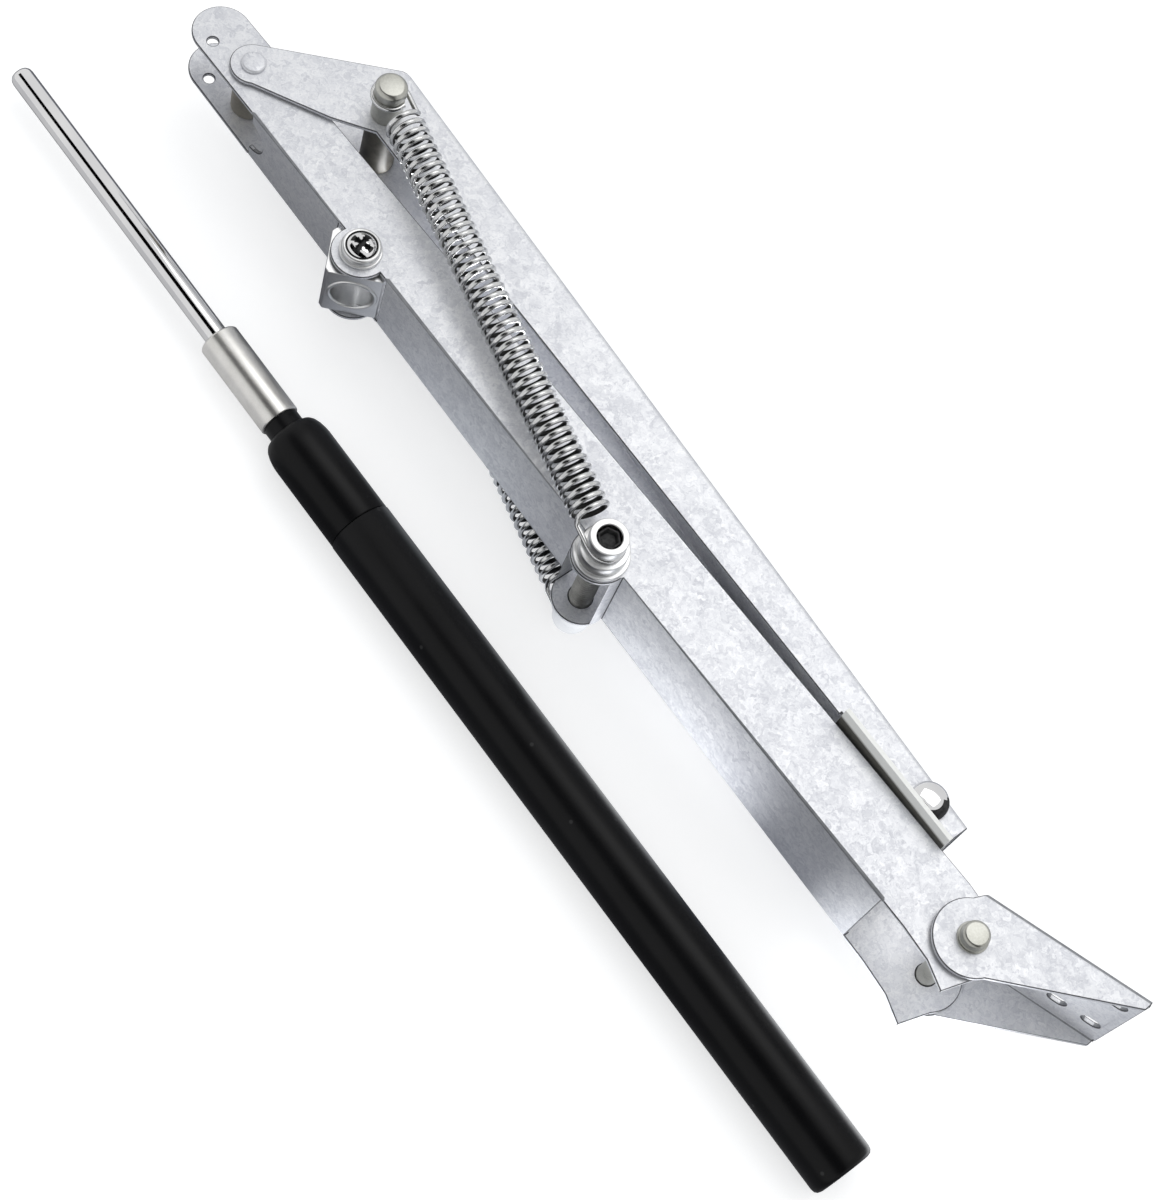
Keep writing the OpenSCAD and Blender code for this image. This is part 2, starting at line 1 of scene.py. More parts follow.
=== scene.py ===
# %% [markdown]
# # A greenhouse vent opener
# The object is an automatic opener for a roof vent. Two galvanised channel arms fold together
# like a pair of tongs, two long springs pull them shut, and a black wax cylinder pushes them
# apart when it warms up. The cylinder has been unscrewed and lies beside the arms.
# The solids come from CAD, so this lesson never moves or resizes them. It makes the visible
# skins: bent sheet with soft edges, turned pins, wound springs and the finishes.

# %% Load the solids and keep their box
import math

import bpy
from mathutils import Matrix, Vector


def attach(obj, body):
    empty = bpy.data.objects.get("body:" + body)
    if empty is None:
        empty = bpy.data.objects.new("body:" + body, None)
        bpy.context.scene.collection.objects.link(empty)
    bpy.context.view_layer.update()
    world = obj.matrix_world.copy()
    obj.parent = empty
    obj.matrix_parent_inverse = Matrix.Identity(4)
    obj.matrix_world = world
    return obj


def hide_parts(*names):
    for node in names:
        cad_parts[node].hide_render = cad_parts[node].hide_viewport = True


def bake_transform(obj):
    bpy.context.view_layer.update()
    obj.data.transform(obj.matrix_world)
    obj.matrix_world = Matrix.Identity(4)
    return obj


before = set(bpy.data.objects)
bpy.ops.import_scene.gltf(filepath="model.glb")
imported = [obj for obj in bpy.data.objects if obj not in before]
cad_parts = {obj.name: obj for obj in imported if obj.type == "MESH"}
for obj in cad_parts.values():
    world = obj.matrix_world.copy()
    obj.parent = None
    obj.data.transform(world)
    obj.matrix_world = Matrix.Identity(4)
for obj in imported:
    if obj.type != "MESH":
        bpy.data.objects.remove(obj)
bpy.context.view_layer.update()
bpy.ops.object.select_all(action="DESELECT")

# %% [markdown]
# ## Two frames
# The arms were drawn lying along X with the elbow pin at zero, in millimetres, and then turned so
# that the frame bracket's wall lies along X. A piece could be modelled where it ends up, but it
# is easier to model it in the arm's own frame and to turn it into place at the end. One matrix
# does that for every piece.

# %% The arm's frame
MM = 0.001
TILT = math.radians(-20.6)
ELBOW = Vector((-163.875, 86.735, 33.0))
ARM = Matrix.Translation(ELBOW * MM) @ Matrix.Rotation(TILT, 4, "Z")
ARM_BACK = ARM.inverted()


def arm_point(x, y, z=0.0):
    return ARM @ (Vector((x, y, z)) * MM)


def arm_place(place):
    return ARM @ Matrix.Translation(place * MM)


def in_arm(normal):
    return ARM_BACK.to_3x3() @ normal


print("elbow at", tuple(round(c, 4) for c in arm_point(0, 0)))

# %% How wide the arms are along their length
SHEET = 1.5
ELBOW_WIDTH = 23.8
PIVOT_WIDTH = 43.0
ARM_GAP = 2.0
PIVOT = Vector((365.0, 3.6, 0.0))
RISE = (PIVOT_WIDTH - ELBOW_WIDTH) / 2 / PIVOT.x


def lower_face(x):
    """Half the outer width of the lower arm at x. Its flanges slope apart."""
    return ELBOW_WIDTH / 2 + RISE * x


def upper_face(x):
    return lower_face(x) + ARM_GAP


print("half widths at the pivot:", lower_face(PIVOT.x), upper_face(PIVOT.x))

# %% [markdown]
# ## The camera
# The photograph looks down on the opener from the side of the cylinder, at about 65 degrees, with
# the camera rolled so that the arms run from the upper left to the lower right. The three
# directions of the camera could be set by hand with three angles. They were fitted to corners of
# the object instead, which also gave the focal length: about 76 mm on a 36 mm sensor.

# %% Camera
CAMERA_PLACE = (0.069007, -0.343835, 0.753531)
FOCAL_PIXELS = 2536.7
PHOTO_HEIGHT = 1200
SENSOR = 36.0

bpy.ops.object.camera_add(location=CAMERA_PLACE)
camera = bpy.context.object
camera.name = "Camera"
right = Vector((0.83541334, 0.51540088, 0.19090961))
up = Vector((-0.54678054, 0.74407227, 0.38391078))
back = Vector((0.0558174, -0.42510985, 0.90341908))
camera.rotation_euler = Matrix((right, up, back)).transposed().to_euler()
camera.data.sensor_width = SENSOR
camera.data.lens = FOCAL_PIXELS / PHOTO_HEIGHT * SENSOR
camera.data.clip_start = 0.05
camera.data.clip_end = 20.0
bpy.context.scene.camera = camera
print("lens", round(camera.data.lens, 2))

# %% [markdown]
# ## Tools for softening and placing
# Every real edge has a small radius, and the radius is what catches the light. A Bevel modifier
# that works by angle softens all sharp edges of a piece at once, which is quicker than picking
# them. The modifier narrows itself where edges lie close together. On the sheets, with their small
# faces round the holes, it would narrow to nothing. So that guard is off for a piece with a slot
# for its cut edges, and faces without area are dissolved afterwards. A finished piece has its
# place in its mesh and sits at the origin, which keeps patterns still when it moves.

# %% Soften, even out, place and dress a piece
TINY = 2e-6


def only(obj):
    bpy.ops.object.select_all(action="DESELECT")
    obj.select_set(True)
    bpy.context.view_layer.objects.active = obj


def edit(action="SELECT"):
    """Goes into edit mode with everything selected, or nothing."""
    bpy.ops.object.mode_set(mode="EDIT")
    bpy.ops.mesh.select_all(action=action)


def leave_edit():
    bpy.ops.object.mode_set(mode="OBJECT")


def soften(obj, width, segments=3, angle=35, smooth=40, edge_slot=-1):
    only(obj)
    bevel = obj.modifiers.new("Soft edges", "BEVEL")
    bevel.material = edge_slot
    bevel.use_clamp_overlap = edge_slot < 0
    bevel.width = width * MM
    bevel.segments = segments
    bevel.limit_method = "ANGLE"
    bevel.angle_limit = math.radians(angle)
    bpy.ops.object.modifier_apply(modifier=bevel.name)
    edit()
    bpy.ops.mesh.dissolve_degenerate(threshold=TINY)
    leave_edit()
    bpy.ops.object.shade_smooth_by_angle(angle=math.radians(smooth))
    return obj


def even_normals(obj):
    only(obj)
    weighted = obj.modifiers.new("Even normals", "WEIGHTED_NORMAL")
    weighted.keep_sharp = True
    bpy.ops.object.modifier_apply(modifier=weighted.name)
    return obj


def bake_place(obj, matrix):
    only(obj)
    obj.matrix_world = matrix @ obj.matrix_world
    bpy.ops.object.transform_apply(location=True, rotation=True, scale=True)
    return obj


def dress(obj, body, slot, *nodes):
    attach(obj, body)
    if nodes:
        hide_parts(*nodes)
    print(obj.name, "has", len(obj.data.polygons), "faces")
    return obj


print("tools ready, smallest length", TINY, "m")

# %% [markdown]
# ## A lathe
# Pins, washers, posts and the cylinder are turned on a lathe. A Screw modifier could spin a
# profile. Here a ring of points is drawn out and widened or narrowed at each step of the profile,
# because that closes the ends of a solid piece at once and leaves clean rings for the bevel.

# %% Turn a profile
MERGE = 1e-6


def turn(name, profile, sides=64):
    """Draws a ring of points through (radius, height) pairs in millimetres and closes it.

    A profile that ends where it began makes a ring with a hole.
    """
    bpy.ops.object.select_all(action="DESELECT")
    radius, height = profile[0]
    bpy.ops.mesh.primitive_circle_add(
        vertices=sides, radius=radius * MM, location=(0, 0, height * MM)
    )
    obj = bpy.context.object
    obj.name = name
    bpy.ops.object.transform_apply(location=True, rotation=True, scale=True)
    edit()
    hollow = profile[0] == profile[-1]
    if not hollow:
        bpy.ops.mesh.edge_face_add()
        bpy.ops.mesh.select_all(action="SELECT")
    for (last_radius, last_height), (radius, height) in zip(profile, profile[1:]):
        rise = {"value": (0, 0, (height - last_height) * MM)}
        if hollow:
            bpy.ops.mesh.extrude_edges_move(TRANSFORM_OT_translate=rise)
        else:
            bpy.ops.mesh.extrude_region_move(TRANSFORM_OT_translate=rise)
        grow = radius / last_radius
        bpy.ops.transform.resize(
            value=(grow, grow, 1), center_override=(0, 0, height * MM)
        )
    bpy.ops.mesh.select_all(action="SELECT")
    bpy.ops.mesh.remove_doubles(threshold=MERGE)
    bpy.ops.mesh.normals_make_consistent(inside=False)
    leave_edit()
    return obj


def ring(name, bore, rim, low, high):
    return turn(name, [(bore, low), (rim, low), (rim, high), (bore, high), (bore, low)])


print("lathe ready, rings of 64 points")

# %% Join, cut and turn over
def join(name, *objs):
    bpy.ops.object.select_all(action="DESELECT")
    for obj in objs:
        obj.select_set(True)
    bpy.context.view_layer.objects.active = objs[0]
    bpy.ops.object.join()
    objs[0].name = name
    return objs[0]


def cut(obj, cutter):
    only(obj)
    saw = obj.modifiers.new("Cut", "BOOLEAN")
    saw.operation = "DIFFERENCE"
    saw.solver = "EXACT"
    saw.object = cutter
    bpy.ops.object.modifier_apply(modifier=saw.name)
    bpy.data.objects.remove(cutter)
    return obj


HALF_TURN = Matrix.Rotation(math.pi, 4, "X")


def turned_over(obj, name):
    """A copy with its own mesh, turned half a turn about X so that it sits on the other side."""
    only(obj)
    bpy.ops.object.duplicate()
    other = bpy.context.object
    other.name = name
    return bake_place(other, HALF_TURN)


print("joining, cutting and copying ready")

# %% [markdown]
# ## Writing finishes as sums
# A finish is a graph of nodes, but most of it is arithmetic. The nodes could be placed and linked
# one by one. A small wrapper round a socket is shorter: a sum such as 0.3 + 0.2 * grain stands for
# the Math nodes that it needs. Every other node comes from one method.

# %% A socket that can be reckoned with
class Socket:
    def __init__(self, graph, socket):
        self.graph = graph
        self.socket = socket

    def math(self, operation, first, second):
        return self.graph.node(
            "ShaderNodeMath", {"operation": operation}, {0: first, 1: second}
        )

    def __add__(self, other):
        return self.math("ADD", self, other)

    def __radd__(self, other):
        return self.math("ADD", other, self)

    def __sub__(self, other):
        return self.math("SUBTRACT", self, other)

    def __rsub__(self, other):
        return self.math("SUBTRACT", other, self)

    def __mul__(self, other):
        return self.math("MULTIPLY", self, other)

    def __rmul__(self, other):
        return self.math("MULTIPLY", other, self)

    def __truediv__(self, other):
        return self.math("DIVIDE", self, other)

    def __rtruediv__(self, other):
        return self.math("DIVIDE", other, self)


print("sockets can be reckoned with")

# %% A graph of nodes
class Graph:
    def __init__(self, tree):
        self.tree = tree

    def fill(self, entry, value):
        if isinstance(value, Socket):
            self.tree.links.new(value.socket, entry)
        else:
            entry.default_value = value

    def node(self, kind, settings=None, inputs=None, output=0):
        new = self.tree.nodes.new(kind)
        for label, value in (settings or {}).items():
            if label == "stops":
                self.set_stops(new.color_ramp.elements, value)
            else:
                setattr(new, label, value)
        for label, value in (inputs or {}).items():
            self.fill(new.inputs[label], value)
        if new.outputs:
            return Socket(self, new.outputs[output])

    def set_stops(self, elements, stops):
        while len(elements) < len(stops):
            elements.new(0.5)
        for element, (place, colour) in zip(elements, stops):
            element.position = place
            element.color = (*colour, 1.0)

    def places(self):
        return self.node("ShaderNodeTexCoord", output="Object")

    def noise(self, places, scale, detail=3.0):
        inputs = {"Vector": places, "Scale": scale, "Detail": detail, "Roughness": 0.55}
        return self.node("ShaderNodeTexNoise", {}, inputs)

    def ramp(self, factor, *stops):
        return self.node("ShaderNodeValToRGB", {"stops": stops}, {0: factor})

    def fade(self, value, low, high, first, last, kind="LINEAR"):
        """Goes from first to last while the value goes from low to high."""
        return self.node(
            "ShaderNodeMapRange",
            {"interpolation_type": kind},
            {"Value": value, 1: low, 2: high, 3: first, 4: last},
        )

    def blend(self, factor, first, second):
        return self.node(
            "ShaderNodeMix", {"data_type": "RGBA"}, {0: factor, 6: first, 7: second}, output=2
        )


print("graph tools ready")

# %% A finish for a piece
class Finish(Graph):
    def __init__(self, name, **fixed):
        self.material = bpy.data.materials.new(name)
        self.material.use_nodes = True
        super().__init__(self.material.node_tree)
        self.shader = self.tree.nodes["Principled BSDF"]
        for label, value in fixed.items():
            self.feed(label, value)

    def feed(self, label, value):
        self.fill(self.shader.inputs[label], value)

    def bump(self, height, strength, distance):
        inputs = {"Height": height, "Strength": strength, "Distance": distance}
        self.feed("Normal", self.node("ShaderNodeBump", {}, inputs))

    def paint(self, *objs):
        for obj in objs:
            obj.data.materials.clear()
            obj.data.materials.append(self.material)


print("finish tools ready")

# %% [markdown]
# ## Galvanised sheet
# Hot-dip zinc freezes into flakes called spangle, each with its own tilt, so the sheet looks
# mottled: pale grey with a cool blue cast, some flakes brighter than others. Noise alone would
# give clouds without flakes. A Voronoi pattern gives each flake one random value, which moves the
# colour and the roughness together, and a fine noise breaks up the flakes' straight borders.

# %% Galvanised finish
FLAKE_SCALE = 400.0
SMALL_FLAKE_SCALE = 1000.0
WARP = 0.010

galvanised = Finish("Galvanised sheet", Metallic=0.68, IOR=1.6)
places = galvanised.places()
wobble = galvanised.node(
    "ShaderNodeTexNoise", {}, {"Vector": places, "Scale": 330.0, "Detail": 2.0}, output="Color"
)
shifted = galvanised.node(
    "ShaderNodeMix", {"data_type": "VECTOR"}, {0: WARP, 4: places, 5: wobble}, output=1
)


def flakes(scale):
    """One random value for each cell of the pattern."""
    colour = galvanised.node(
        "ShaderNodeTexVoronoi",
        {"feature": "F1"},
        {"Vector": shifted, "Scale": scale},
        output="Color",
    )
    return galvanised.node("ShaderNodeSeparateColor", {}, {0: colour})


flake = flakes(FLAKE_SCALE)
small = flakes(SMALL_FLAKE_SCALE)
cloud = galvanised.noise(places, 26.0, 4.0)
grain = galvanised.noise(places, 1700.0, 3.0)
spangle = galvanised.ramp(
    0.30 * flake + 0.28 * small + 0.24 * cloud + 0.18 * grain,
    (0.22, (0.590, 0.600, 0.640)),
    (0.50, (0.710, 0.719, 0.747)),
    (0.78, (0.810, 0.815, 0.830)),
)
galvanised.feed("Base Color", spangle)
galvanised.feed("Roughness", 0.44 - 0.06 * flake - 0.05 * small + 0.08 * grain)
galvanised.bump(0.6 * flake + 0.4 * grain, 0.14, 0.0004)
print("galvanised sheet:", len(galvanised.tree.nodes), "nodes")

# %% [markdown]
# ## Plated steel
# The pins are turned steel with a dull nickel plate, a little yellow. The screws, washers and
# posts have bright zinc. All of them are metals with a fine scratched grain that differ in colour
# and roughness only, so one function makes them. The same function makes the dark cut edges of
# the sheet, the dull zinc in its bends and the painted shade on the inside of the springs' coils.

# %% Plated finishes
FINE_GRAIN = 14


def plated(name, dark, light, rough, spread, scale, metallic=1.0):
    finish = Finish(name, Metallic=metallic)
    spots = finish.places()
    cloudy = finish.noise(spots, scale, 4.0)
    fine = finish.noise(spots, scale * FINE_GRAIN, 2.0)
    mottle = 0.6 * cloudy + 0.4 * fine
    finish.feed("Base Color", finish.ramp(mottle, (0.3, dark), (0.7, light)))
    finish.feed("Roughness", rough + spread * mottle)
    finish.bump(fine, 0.05, 0.0002)
    print(name, len(finish.tree.nodes), "nodes")
    return finish


nickel = plated("Dull nickel", (0.40, 0.40, 0.36), (0.60, 0.60, 0.56), 0.20, 0.22, 120.0)
zinc = plated("Bright zinc", (0.70, 0.71, 0.72), (0.86, 0.86, 0.85), 0.21, 0.20, 150.0)
dark_thread = plated("Oiled thread", (0.26, 0.26, 0.25), (0.52, 0.52, 0.50), 0.24, 0.2, 200.0)

# %% Finishes of the sheets, sleeves and springs
CLIP_METALLIC = 0.12

cut_edge = plated(
    "Cut sheet edge", (0.070, 0.072, 0.080), (0.18, 0.183, 0.195), 0.42, 0.2, 300.0
)
dull_bend = plated("Dull bend", (0.26, 0.27, 0.29), (0.46, 0.47, 0.49), 0.46, 0.2, 260.0)
cream_plate = plated(
    "Pale zinc plate", (0.80, 0.80, 0.77), (0.92, 0.92, 0.89), 0.40, 0.16, 70.0, CLIP_METALLIC
)
pale_sleeve = plated(
    "Pale plated sleeve", (0.74, 0.73, 0.70), (0.90, 0.89, 0.86), 0.26, 0.12, 200.0
)
tan_sleeve = plated("Tan sleeve", (0.30, 0.28, 0.24), (0.52, 0.49, 0.42), 0.36, 0.2, 90.0)
wire_steel = plated("Spring wire", (0.54, 0.55, 0.56), (0.84, 0.84, 0.83), 0.12, 0.18, 400.0)
# Painted shade: a near-black finish for the inner side of the springs' coils.
painted_coil_shade = plated(
    "Painted shade in the coils", (0.020, 0.020, 0.020), (0.075, 0.074, 0.072), 0.40, 0.2, 300.0
)

# %% [markdown]
# ## Chrome, plastic, wax and rubber
# The rod is polished hard chrome, nearly a mirror. The roller is dark plastic. The cross and groove
# in the screw heads and the post sockets are painted near black as shade. Inside the cylinder are
# wax and a rubber seal. One plain colour would do for each, but a faint mottle keeps a large even
# face from looking painted on.

# %% Mottled finishes
def mottled(name, dark, light, scale, rough, spread, detail=3.0, **fixed):
    finish = Finish(name, **fixed)
    mottle = finish.noise(finish.places(), scale, detail)
    finish.feed("Base Color", finish.ramp(mottle, (0.3, dark), (0.7, light)))
    finish.feed("Roughness", rough + spread * mottle)
    print(name, len(finish.tree.nodes), "nodes")
    return finish


chrome = mottled(
    "Hard chrome", (0.78, 0.78, 0.79), (0.88, 0.88, 0.88), 60.0, 0.05, 0.06, Metallic=1.0
)
dark_plastic = mottled(
    "Dark roller", (0.030, 0.028, 0.022), (0.085, 0.080, 0.066), 300.0, 0.42, 0.2, IOR=1.46
)
# Painted shade in recesses and sockets, and a painted dark reflection on the clip bolt's dome.
painted_shade_and_reflection = mottled(
    "Painted shade and dark reflection", (0.008, 0.008, 0.009), (0.05, 0.05, 0.05), 700.0, 0.35, 0.3, Metallic=0.6
)
wax = mottled("Cast wax", (0.78, 0.74, 0.60), (0.88, 0.85, 0.74), 80.0, 0.4, 0.2, 4.0, IOR=1.45)
rubber = mottled("Seal rubber", (0.015, 0.015, 0.015), (0.035, 0.035, 0.035), 500.0, 0.6, 0.2)

# %% [markdown]
# ## Satin black coat
# The tube has a satin black coat: almost no colour of its own, so its shape is told by soft
# highlights. Plain black would look like a hole in the picture. A fine bump stands for the skin
# of the coat, and a few specks of dust lie on it, one at the middle of each cell of a pattern.

# %% Black coat
DUST_SIZE = (0.045, 0.075)
DUST_GREY = (0.5, 0.5, 0.5, 1.0)

black_coat = Finish("Satin black coat")
black_coat.feed("Specular IOR Level", 0.16)
places = black_coat.places()
orange_peel = black_coat.noise(places, 900.0, 2.0)
patch = black_coat.noise(places, 34.0, 3.0)
specks = black_coat.node(
    "ShaderNodeTexVoronoi",
    {"feature": "F1"},
    {"Vector": places, "Scale": 95.0},
    output="Distance",
)
dust = black_coat.fade(specks, *DUST_SIZE, 1.0, 0.0)
black = black_coat.ramp(
    patch, (0.3, (0.0022, 0.0022, 0.0026)), (0.7, (0.0050, 0.0050, 0.0056))
)
black_coat.feed("Base Color", black_coat.blend(0.04 * dust, black, DUST_GREY))
black_coat.feed("Roughness", 0.22 + 0.12 * patch + 0.05 * orange_peel)
black_coat.bump(orange_peel, 0.04, 0.0003)
print("black coat:", len(black_coat.tree.nodes), "nodes")

# %% [markdown]
# ## Bent sheet
# The arms, the bracket and the clip are bent from sheet. They could be drawn again from planes,
# but the solids already have the true outline. So a skin is made from a copy of each: its loose
# triangles are merged into clean faces, the folds get a rounded bend, and every cut edge is
# softened. The edges of a fold are found by their place in the arm's frame.

# %% A skin from a solid
FLAT_ANGLE = math.radians(0.6)


def skin_of(node, name):
    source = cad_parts[node]
    obj = bpy.data.objects.new(name, source.data.copy())
    bpy.context.scene.collection.objects.link(obj)
    only(obj)
    edit()
    bpy.ops.mesh.remove_doubles(threshold=TINY)
    bpy.ops.mesh.dissolve_limited(angle_limit=FLAT_ANGLE, use_dissolve_boundaries=False)
    leave_edit()
    obj.data.materials.clear()
    return obj


def slice_across(obj, stations):
    """Adds cross edges at stations along the arm, so that a bend can start and end there."""
    only(obj)
    along = (ARM.to_3x3() @ Vector((1, 0, 0))).normalized()
    for x in stations:
        edit()
        bpy.ops.mesh.bisect(plane_co=arm_point(x, 0, 0), plane_no=along)
    leave_edit()


print("skins are flat within", round(math.degrees(FLAT_ANGLE), 2), "degrees")

# %% Round the folds
SHORTEST_FOLD = 2.0


def round_folds(obj, is_fold, radius, segments=5):
    """Rounds the lengthwise edges whose two ends lie on a fold."""
    only(obj)
    mesh = obj.data
    local = [ARM_BACK @ v.co / MM for v in mesh.vertices]
    edit("DESELECT")
    bpy.ops.mesh.select_mode(type="EDGE")
    leave_edit()
    picked = 0
    for edge in mesh.edges:
        first, second = (local[i] for i in edge.vertices)
        lengthwise = abs(first.x - second.x) > SHORTEST_FOLD
        edge.select = lengthwise and is_fold(first) and is_fold(second)
        picked += edge.select
    bpy.ops.object.mode_set(mode="EDIT")
    if picked:
        bpy.ops.mesh.bevel(
            offset=radius * MM, segments=segments, affect="EDGES", clamp_overlap=False
        )
    bpy.ops.mesh.select_mode(type="VERT")
    leave_edit()
    print(obj.name, "rounded", picked, "folds")


INNER_BEND = 0.5
print("inner bends have a radius of", INNER_BEND, "mm")

# %% [markdown]
# ## Cut edges and dull bends
# The sheet was cut after it was dipped, so its cut edges are bare and dark, and the zinc in a
# tight bend is stretched and dull. Both show in the photograph as thin lines. A mask in the
# finish could darken them, but it would have to know the shape. Here the softened edges get a
# slot of their own from the bevel, and the faces of a bend are picked by the way they face.

# %% Finish a sheet
CUT_SLOT = 1
BEND_SLOT = 2
WEB_LIMIT = 0.10
FLANGE_LIMIT = 0.95


def finish_sheet(obj):
    for finish in (galvanised, cut_edge):
        obj.data.materials.append(finish.material)
    soften(obj, 0.3, segments=2, angle=50, smooth=32, edge_slot=CUT_SLOT)
    even_normals(obj)


def dull_bends(obj):
    obj.data.materials.append(dull_bend.material)
    count = 0
    for face in obj.data.polygons:
        slope = abs(in_arm(face.normal).z)
        if face.material_index == 0 and WEB_LIMIT < slope < FLANGE_LIMIT:
            face.material_index = BEND_SLOT
            count += 1
    print(obj.name, "has", count, "dull faces in its bends")


print("sheets have slots for the sheet, its cut edges and its bends")

# %% [markdown]
# ## The lower arm
# The lower arm is a channel that grows from the elbow to the frame pivot. Its web is cut away at
# both ends and opposite the two pairs of round lobes, so the fold only runs between those windows.
# A bevel on one long edge would also round the flange beside a window. The arm is sliced where
# each run of the web starts and ends, and only the edges on those runs are rounded.

# %% Lower arm
WEB_RUNS = [(15.0, 63.0), (89.0, 195.0), (213.0, 340.0)]
RUN_PLAY = 0.3
LOWER_WEB = -10.5


def on_web_run(x):
    return any(low - RUN_PLAY <= x <= high + RUN_PLAY for low, high in WEB_RUNS)


def lower_fold(depth):
    """A test for corners on the fold, on the outer face or at a depth below it."""
    def is_fold(p):
        on_web = abs(p.y - LOWER_WEB - depth) < 0.05
        on_flange = abs(abs(p.z) - lower_face(p.x) + depth) < 0.1
        return on_web and on_flange and on_web_run(p.x)
    return is_fold


lower_arm = skin_of("lower_arm", "lower_arm_sheet")
slice_across(lower_arm, [x for run in WEB_RUNS for x in run])
round_folds(lower_arm, lower_fold(0.0), 1.1)
round_folds(lower_arm, lower_fold(SHEET), INNER_BEND, 3)
finish_sheet(lower_arm)
dull_bends(lower_arm)
dress(lower_arm, "lower", "galvanised", "lower_arm")

# %% [markdown]
# ## The upper arm
# The upper arm is the wider channel and straddles the lower one. It starts as a wedge with no web
# at the elbow, and the fold begins at the wedge's corner. The web slopes, so a corner is on the
# fold when its distance from the web's line is nought.

# %% Upper arm
WEDGE = Vector((28.2, 42.5))
UPPER_END = Vector((338.4, 26.1))
FOLD_START = 30.0
web_line = (UPPER_END - WEDGE).normalized()


def from_web(p):
    offset = Vector((p.x, p.y)) - WEDGE
    return web_line.x * offset.y - web_line.y * offset.x


def upper_fold(depth):
    def is_fold(p):
        on_web = abs(from_web(p) + depth) < 0.08
        on_flange = abs(abs(p.z) - upper_face(p.x) + depth) < 0.12
        return on_web and on_flange and p.x > FOLD_START
    return is_fold


upper_arm = skin_of("upper_arm", "upper_arm_sheet")
round_folds(upper_arm, upper_fold(0.0), 1.9)
round_folds(upper_arm, upper_fold(SHEET), INNER_BEND, 3)
finish_sheet(upper_arm)
dress(upper_arm, "upper", "galvanised", "upper_arm")

# %% [markdown]
# ## The frame bracket
# The bracket is a short U of heavier sheet with a slotted wall that is screwed to the greenhouse
# frame. It is made as the arms are. Its wall lies at an angle to the arm, so a corner is turned
# about the pivot before it is tested.

# %% Bracket
BRACKET_SHEET = 1.8
BRACKET_WALL = 15.2
BRACKET_FACE = 23.968
BRACKET_CORNER = -2.2


def bracket_fold(depth):
    def is_fold(p):
        q = Matrix.Rotation(TILT, 3, "Z") @ (p - PIVOT)
        on_wall = abs(q.y - BRACKET_WALL + depth) < 0.05
        on_flange = abs(abs(p.z) - BRACKET_FACE + depth) < 0.1
        return on_wall and on_flange and q.x > BRACKET_CORNER
    return is_fold


bracket = skin_of("frame_bracket", "frame_bracket_sheet")
round_folds(bracket, bracket_fold(0.0), 2.0)
round_folds(bracket, bracket_fold(BRACKET_SHEET), 0.6, 3)
finish_sheet(bracket)
dull_bends(bracket)
dress(bracket, "bracket", "galvanised", "frame_bracket")

# %% [markdown]
# ## The vent clip
# The clip is a pale plate at the far end of the upper arm that grips the vent's rail. Shade falls
# in the corner where its raised edge meets the flange, and it is painted into the colour. A dark
# piece could lie there instead. So the side of the edge that is seen has a finish that darkens
# towards the foot, as painted shade, with a noise that makes the border uneven.

# %% Clip
CLIP_BOLT = Vector((325.0, 20.677, 0.0))
SHADE_BELOW = 0.0002
SHADE_ABOVE = 0.0013
CLIP_CREAM = (0.84, 0.84, 0.81, 1.0)
FOOT_SHADE_COLOUR = (0.10, 0.097, 0.085, 1.0)

clip = skin_of("vent_clip", "vent_clip_plate")
soften(clip, 0.35, 3, 50, 32)
even_normals(clip)
cream_plate.paint(clip)

foot = arm_point(0, 0, upper_face(CLIP_BOLT.x)).z
# Painted shade: the seen side of the clip's raised edge darkens towards its foot.
foot_shade = Finish("Painted shade at the clip's foot", Metallic=CLIP_METALLIC, Roughness=0.5)
height = foot_shade.node("ShaderNodeSeparateXYZ", {}, {0: foot_shade.places()}, output="Z")
shade_wobble = 0.0006 * foot_shade.noise(foot_shade.places(), 160.0, 3.0)
shade_amount = foot_shade.fade(height + shade_wobble, foot - SHADE_BELOW, foot + SHADE_ABOVE, 1.0, 0.0)
foot_shade.feed("Base Color", foot_shade.blend(shade_amount, CLIP_CREAM, FOOT_SHADE_COLOUR))
clip.data.materials.append(foot_shade.material)
# Faces on the seen side of the raised edge get the painted shade.
for face in clip.data.polygons:
    if in_arm(face.normal).y < -0.8:
        face.material_index = 1
dress(clip, "upper", "galvanised", "vent_clip")

# %% [markdown]
# ## Turned pins
# Two pins hold the upper arm: the elbow pin and the spring pin with its two grooves. Each runs in
# a sleeve. All are lathe work, so each is one profile. A flat head on a sloping flange touches it
# at the rim on the higher side, and its height is reckoned from there with a hair of play.

# %% Elbow pin and spacer
PLAY = 0.02


def seat_on(face, x, radius):
    return face(x) + RISE * radius + PLAY


def both_ends(half):
    """A profile from one end to the other, from its upper half."""
    return [(radius, -height) for radius, height in reversed(half)] + half


def settle(obj, place, finish, body, slot, *nodes):
    bake_place(obj, place)
    finish.paint(obj)
    return dress(obj, body, slot, *nodes)


seat = seat_on(upper_face, 0, 4.2)
elbow_pin = turn(
    "elbow_pin_turned",
    both_ends([(3.0, seat), (4.2, seat), (4.2, seat + 0.6), (3.6, seat + 1.1)]),
)
soften(elbow_pin, 0.25)
settle(elbow_pin, ARM, galvanised, "upper", "nickel", "elbow_pin")

half = lower_face(-6) - SHEET - 0.1
spacer = ring("elbow_spacer_turned", 3.05, 6.0, -half, half)
soften(spacer, 0.3)
settle(spacer, ARM, tan_sleeve, "lower", "dark_sleeve", "elbow_spacer")

# %% Spring pin
SPRING_PIN = Vector((38.3, 26.1, 0.0))
PIN_FOOT = -33.0
PIN_TOP = 31.5
GROOVE_LOW = 23.9
GROOVE_HIGH = 27.1
GROOVE_RADIUS = 4.5

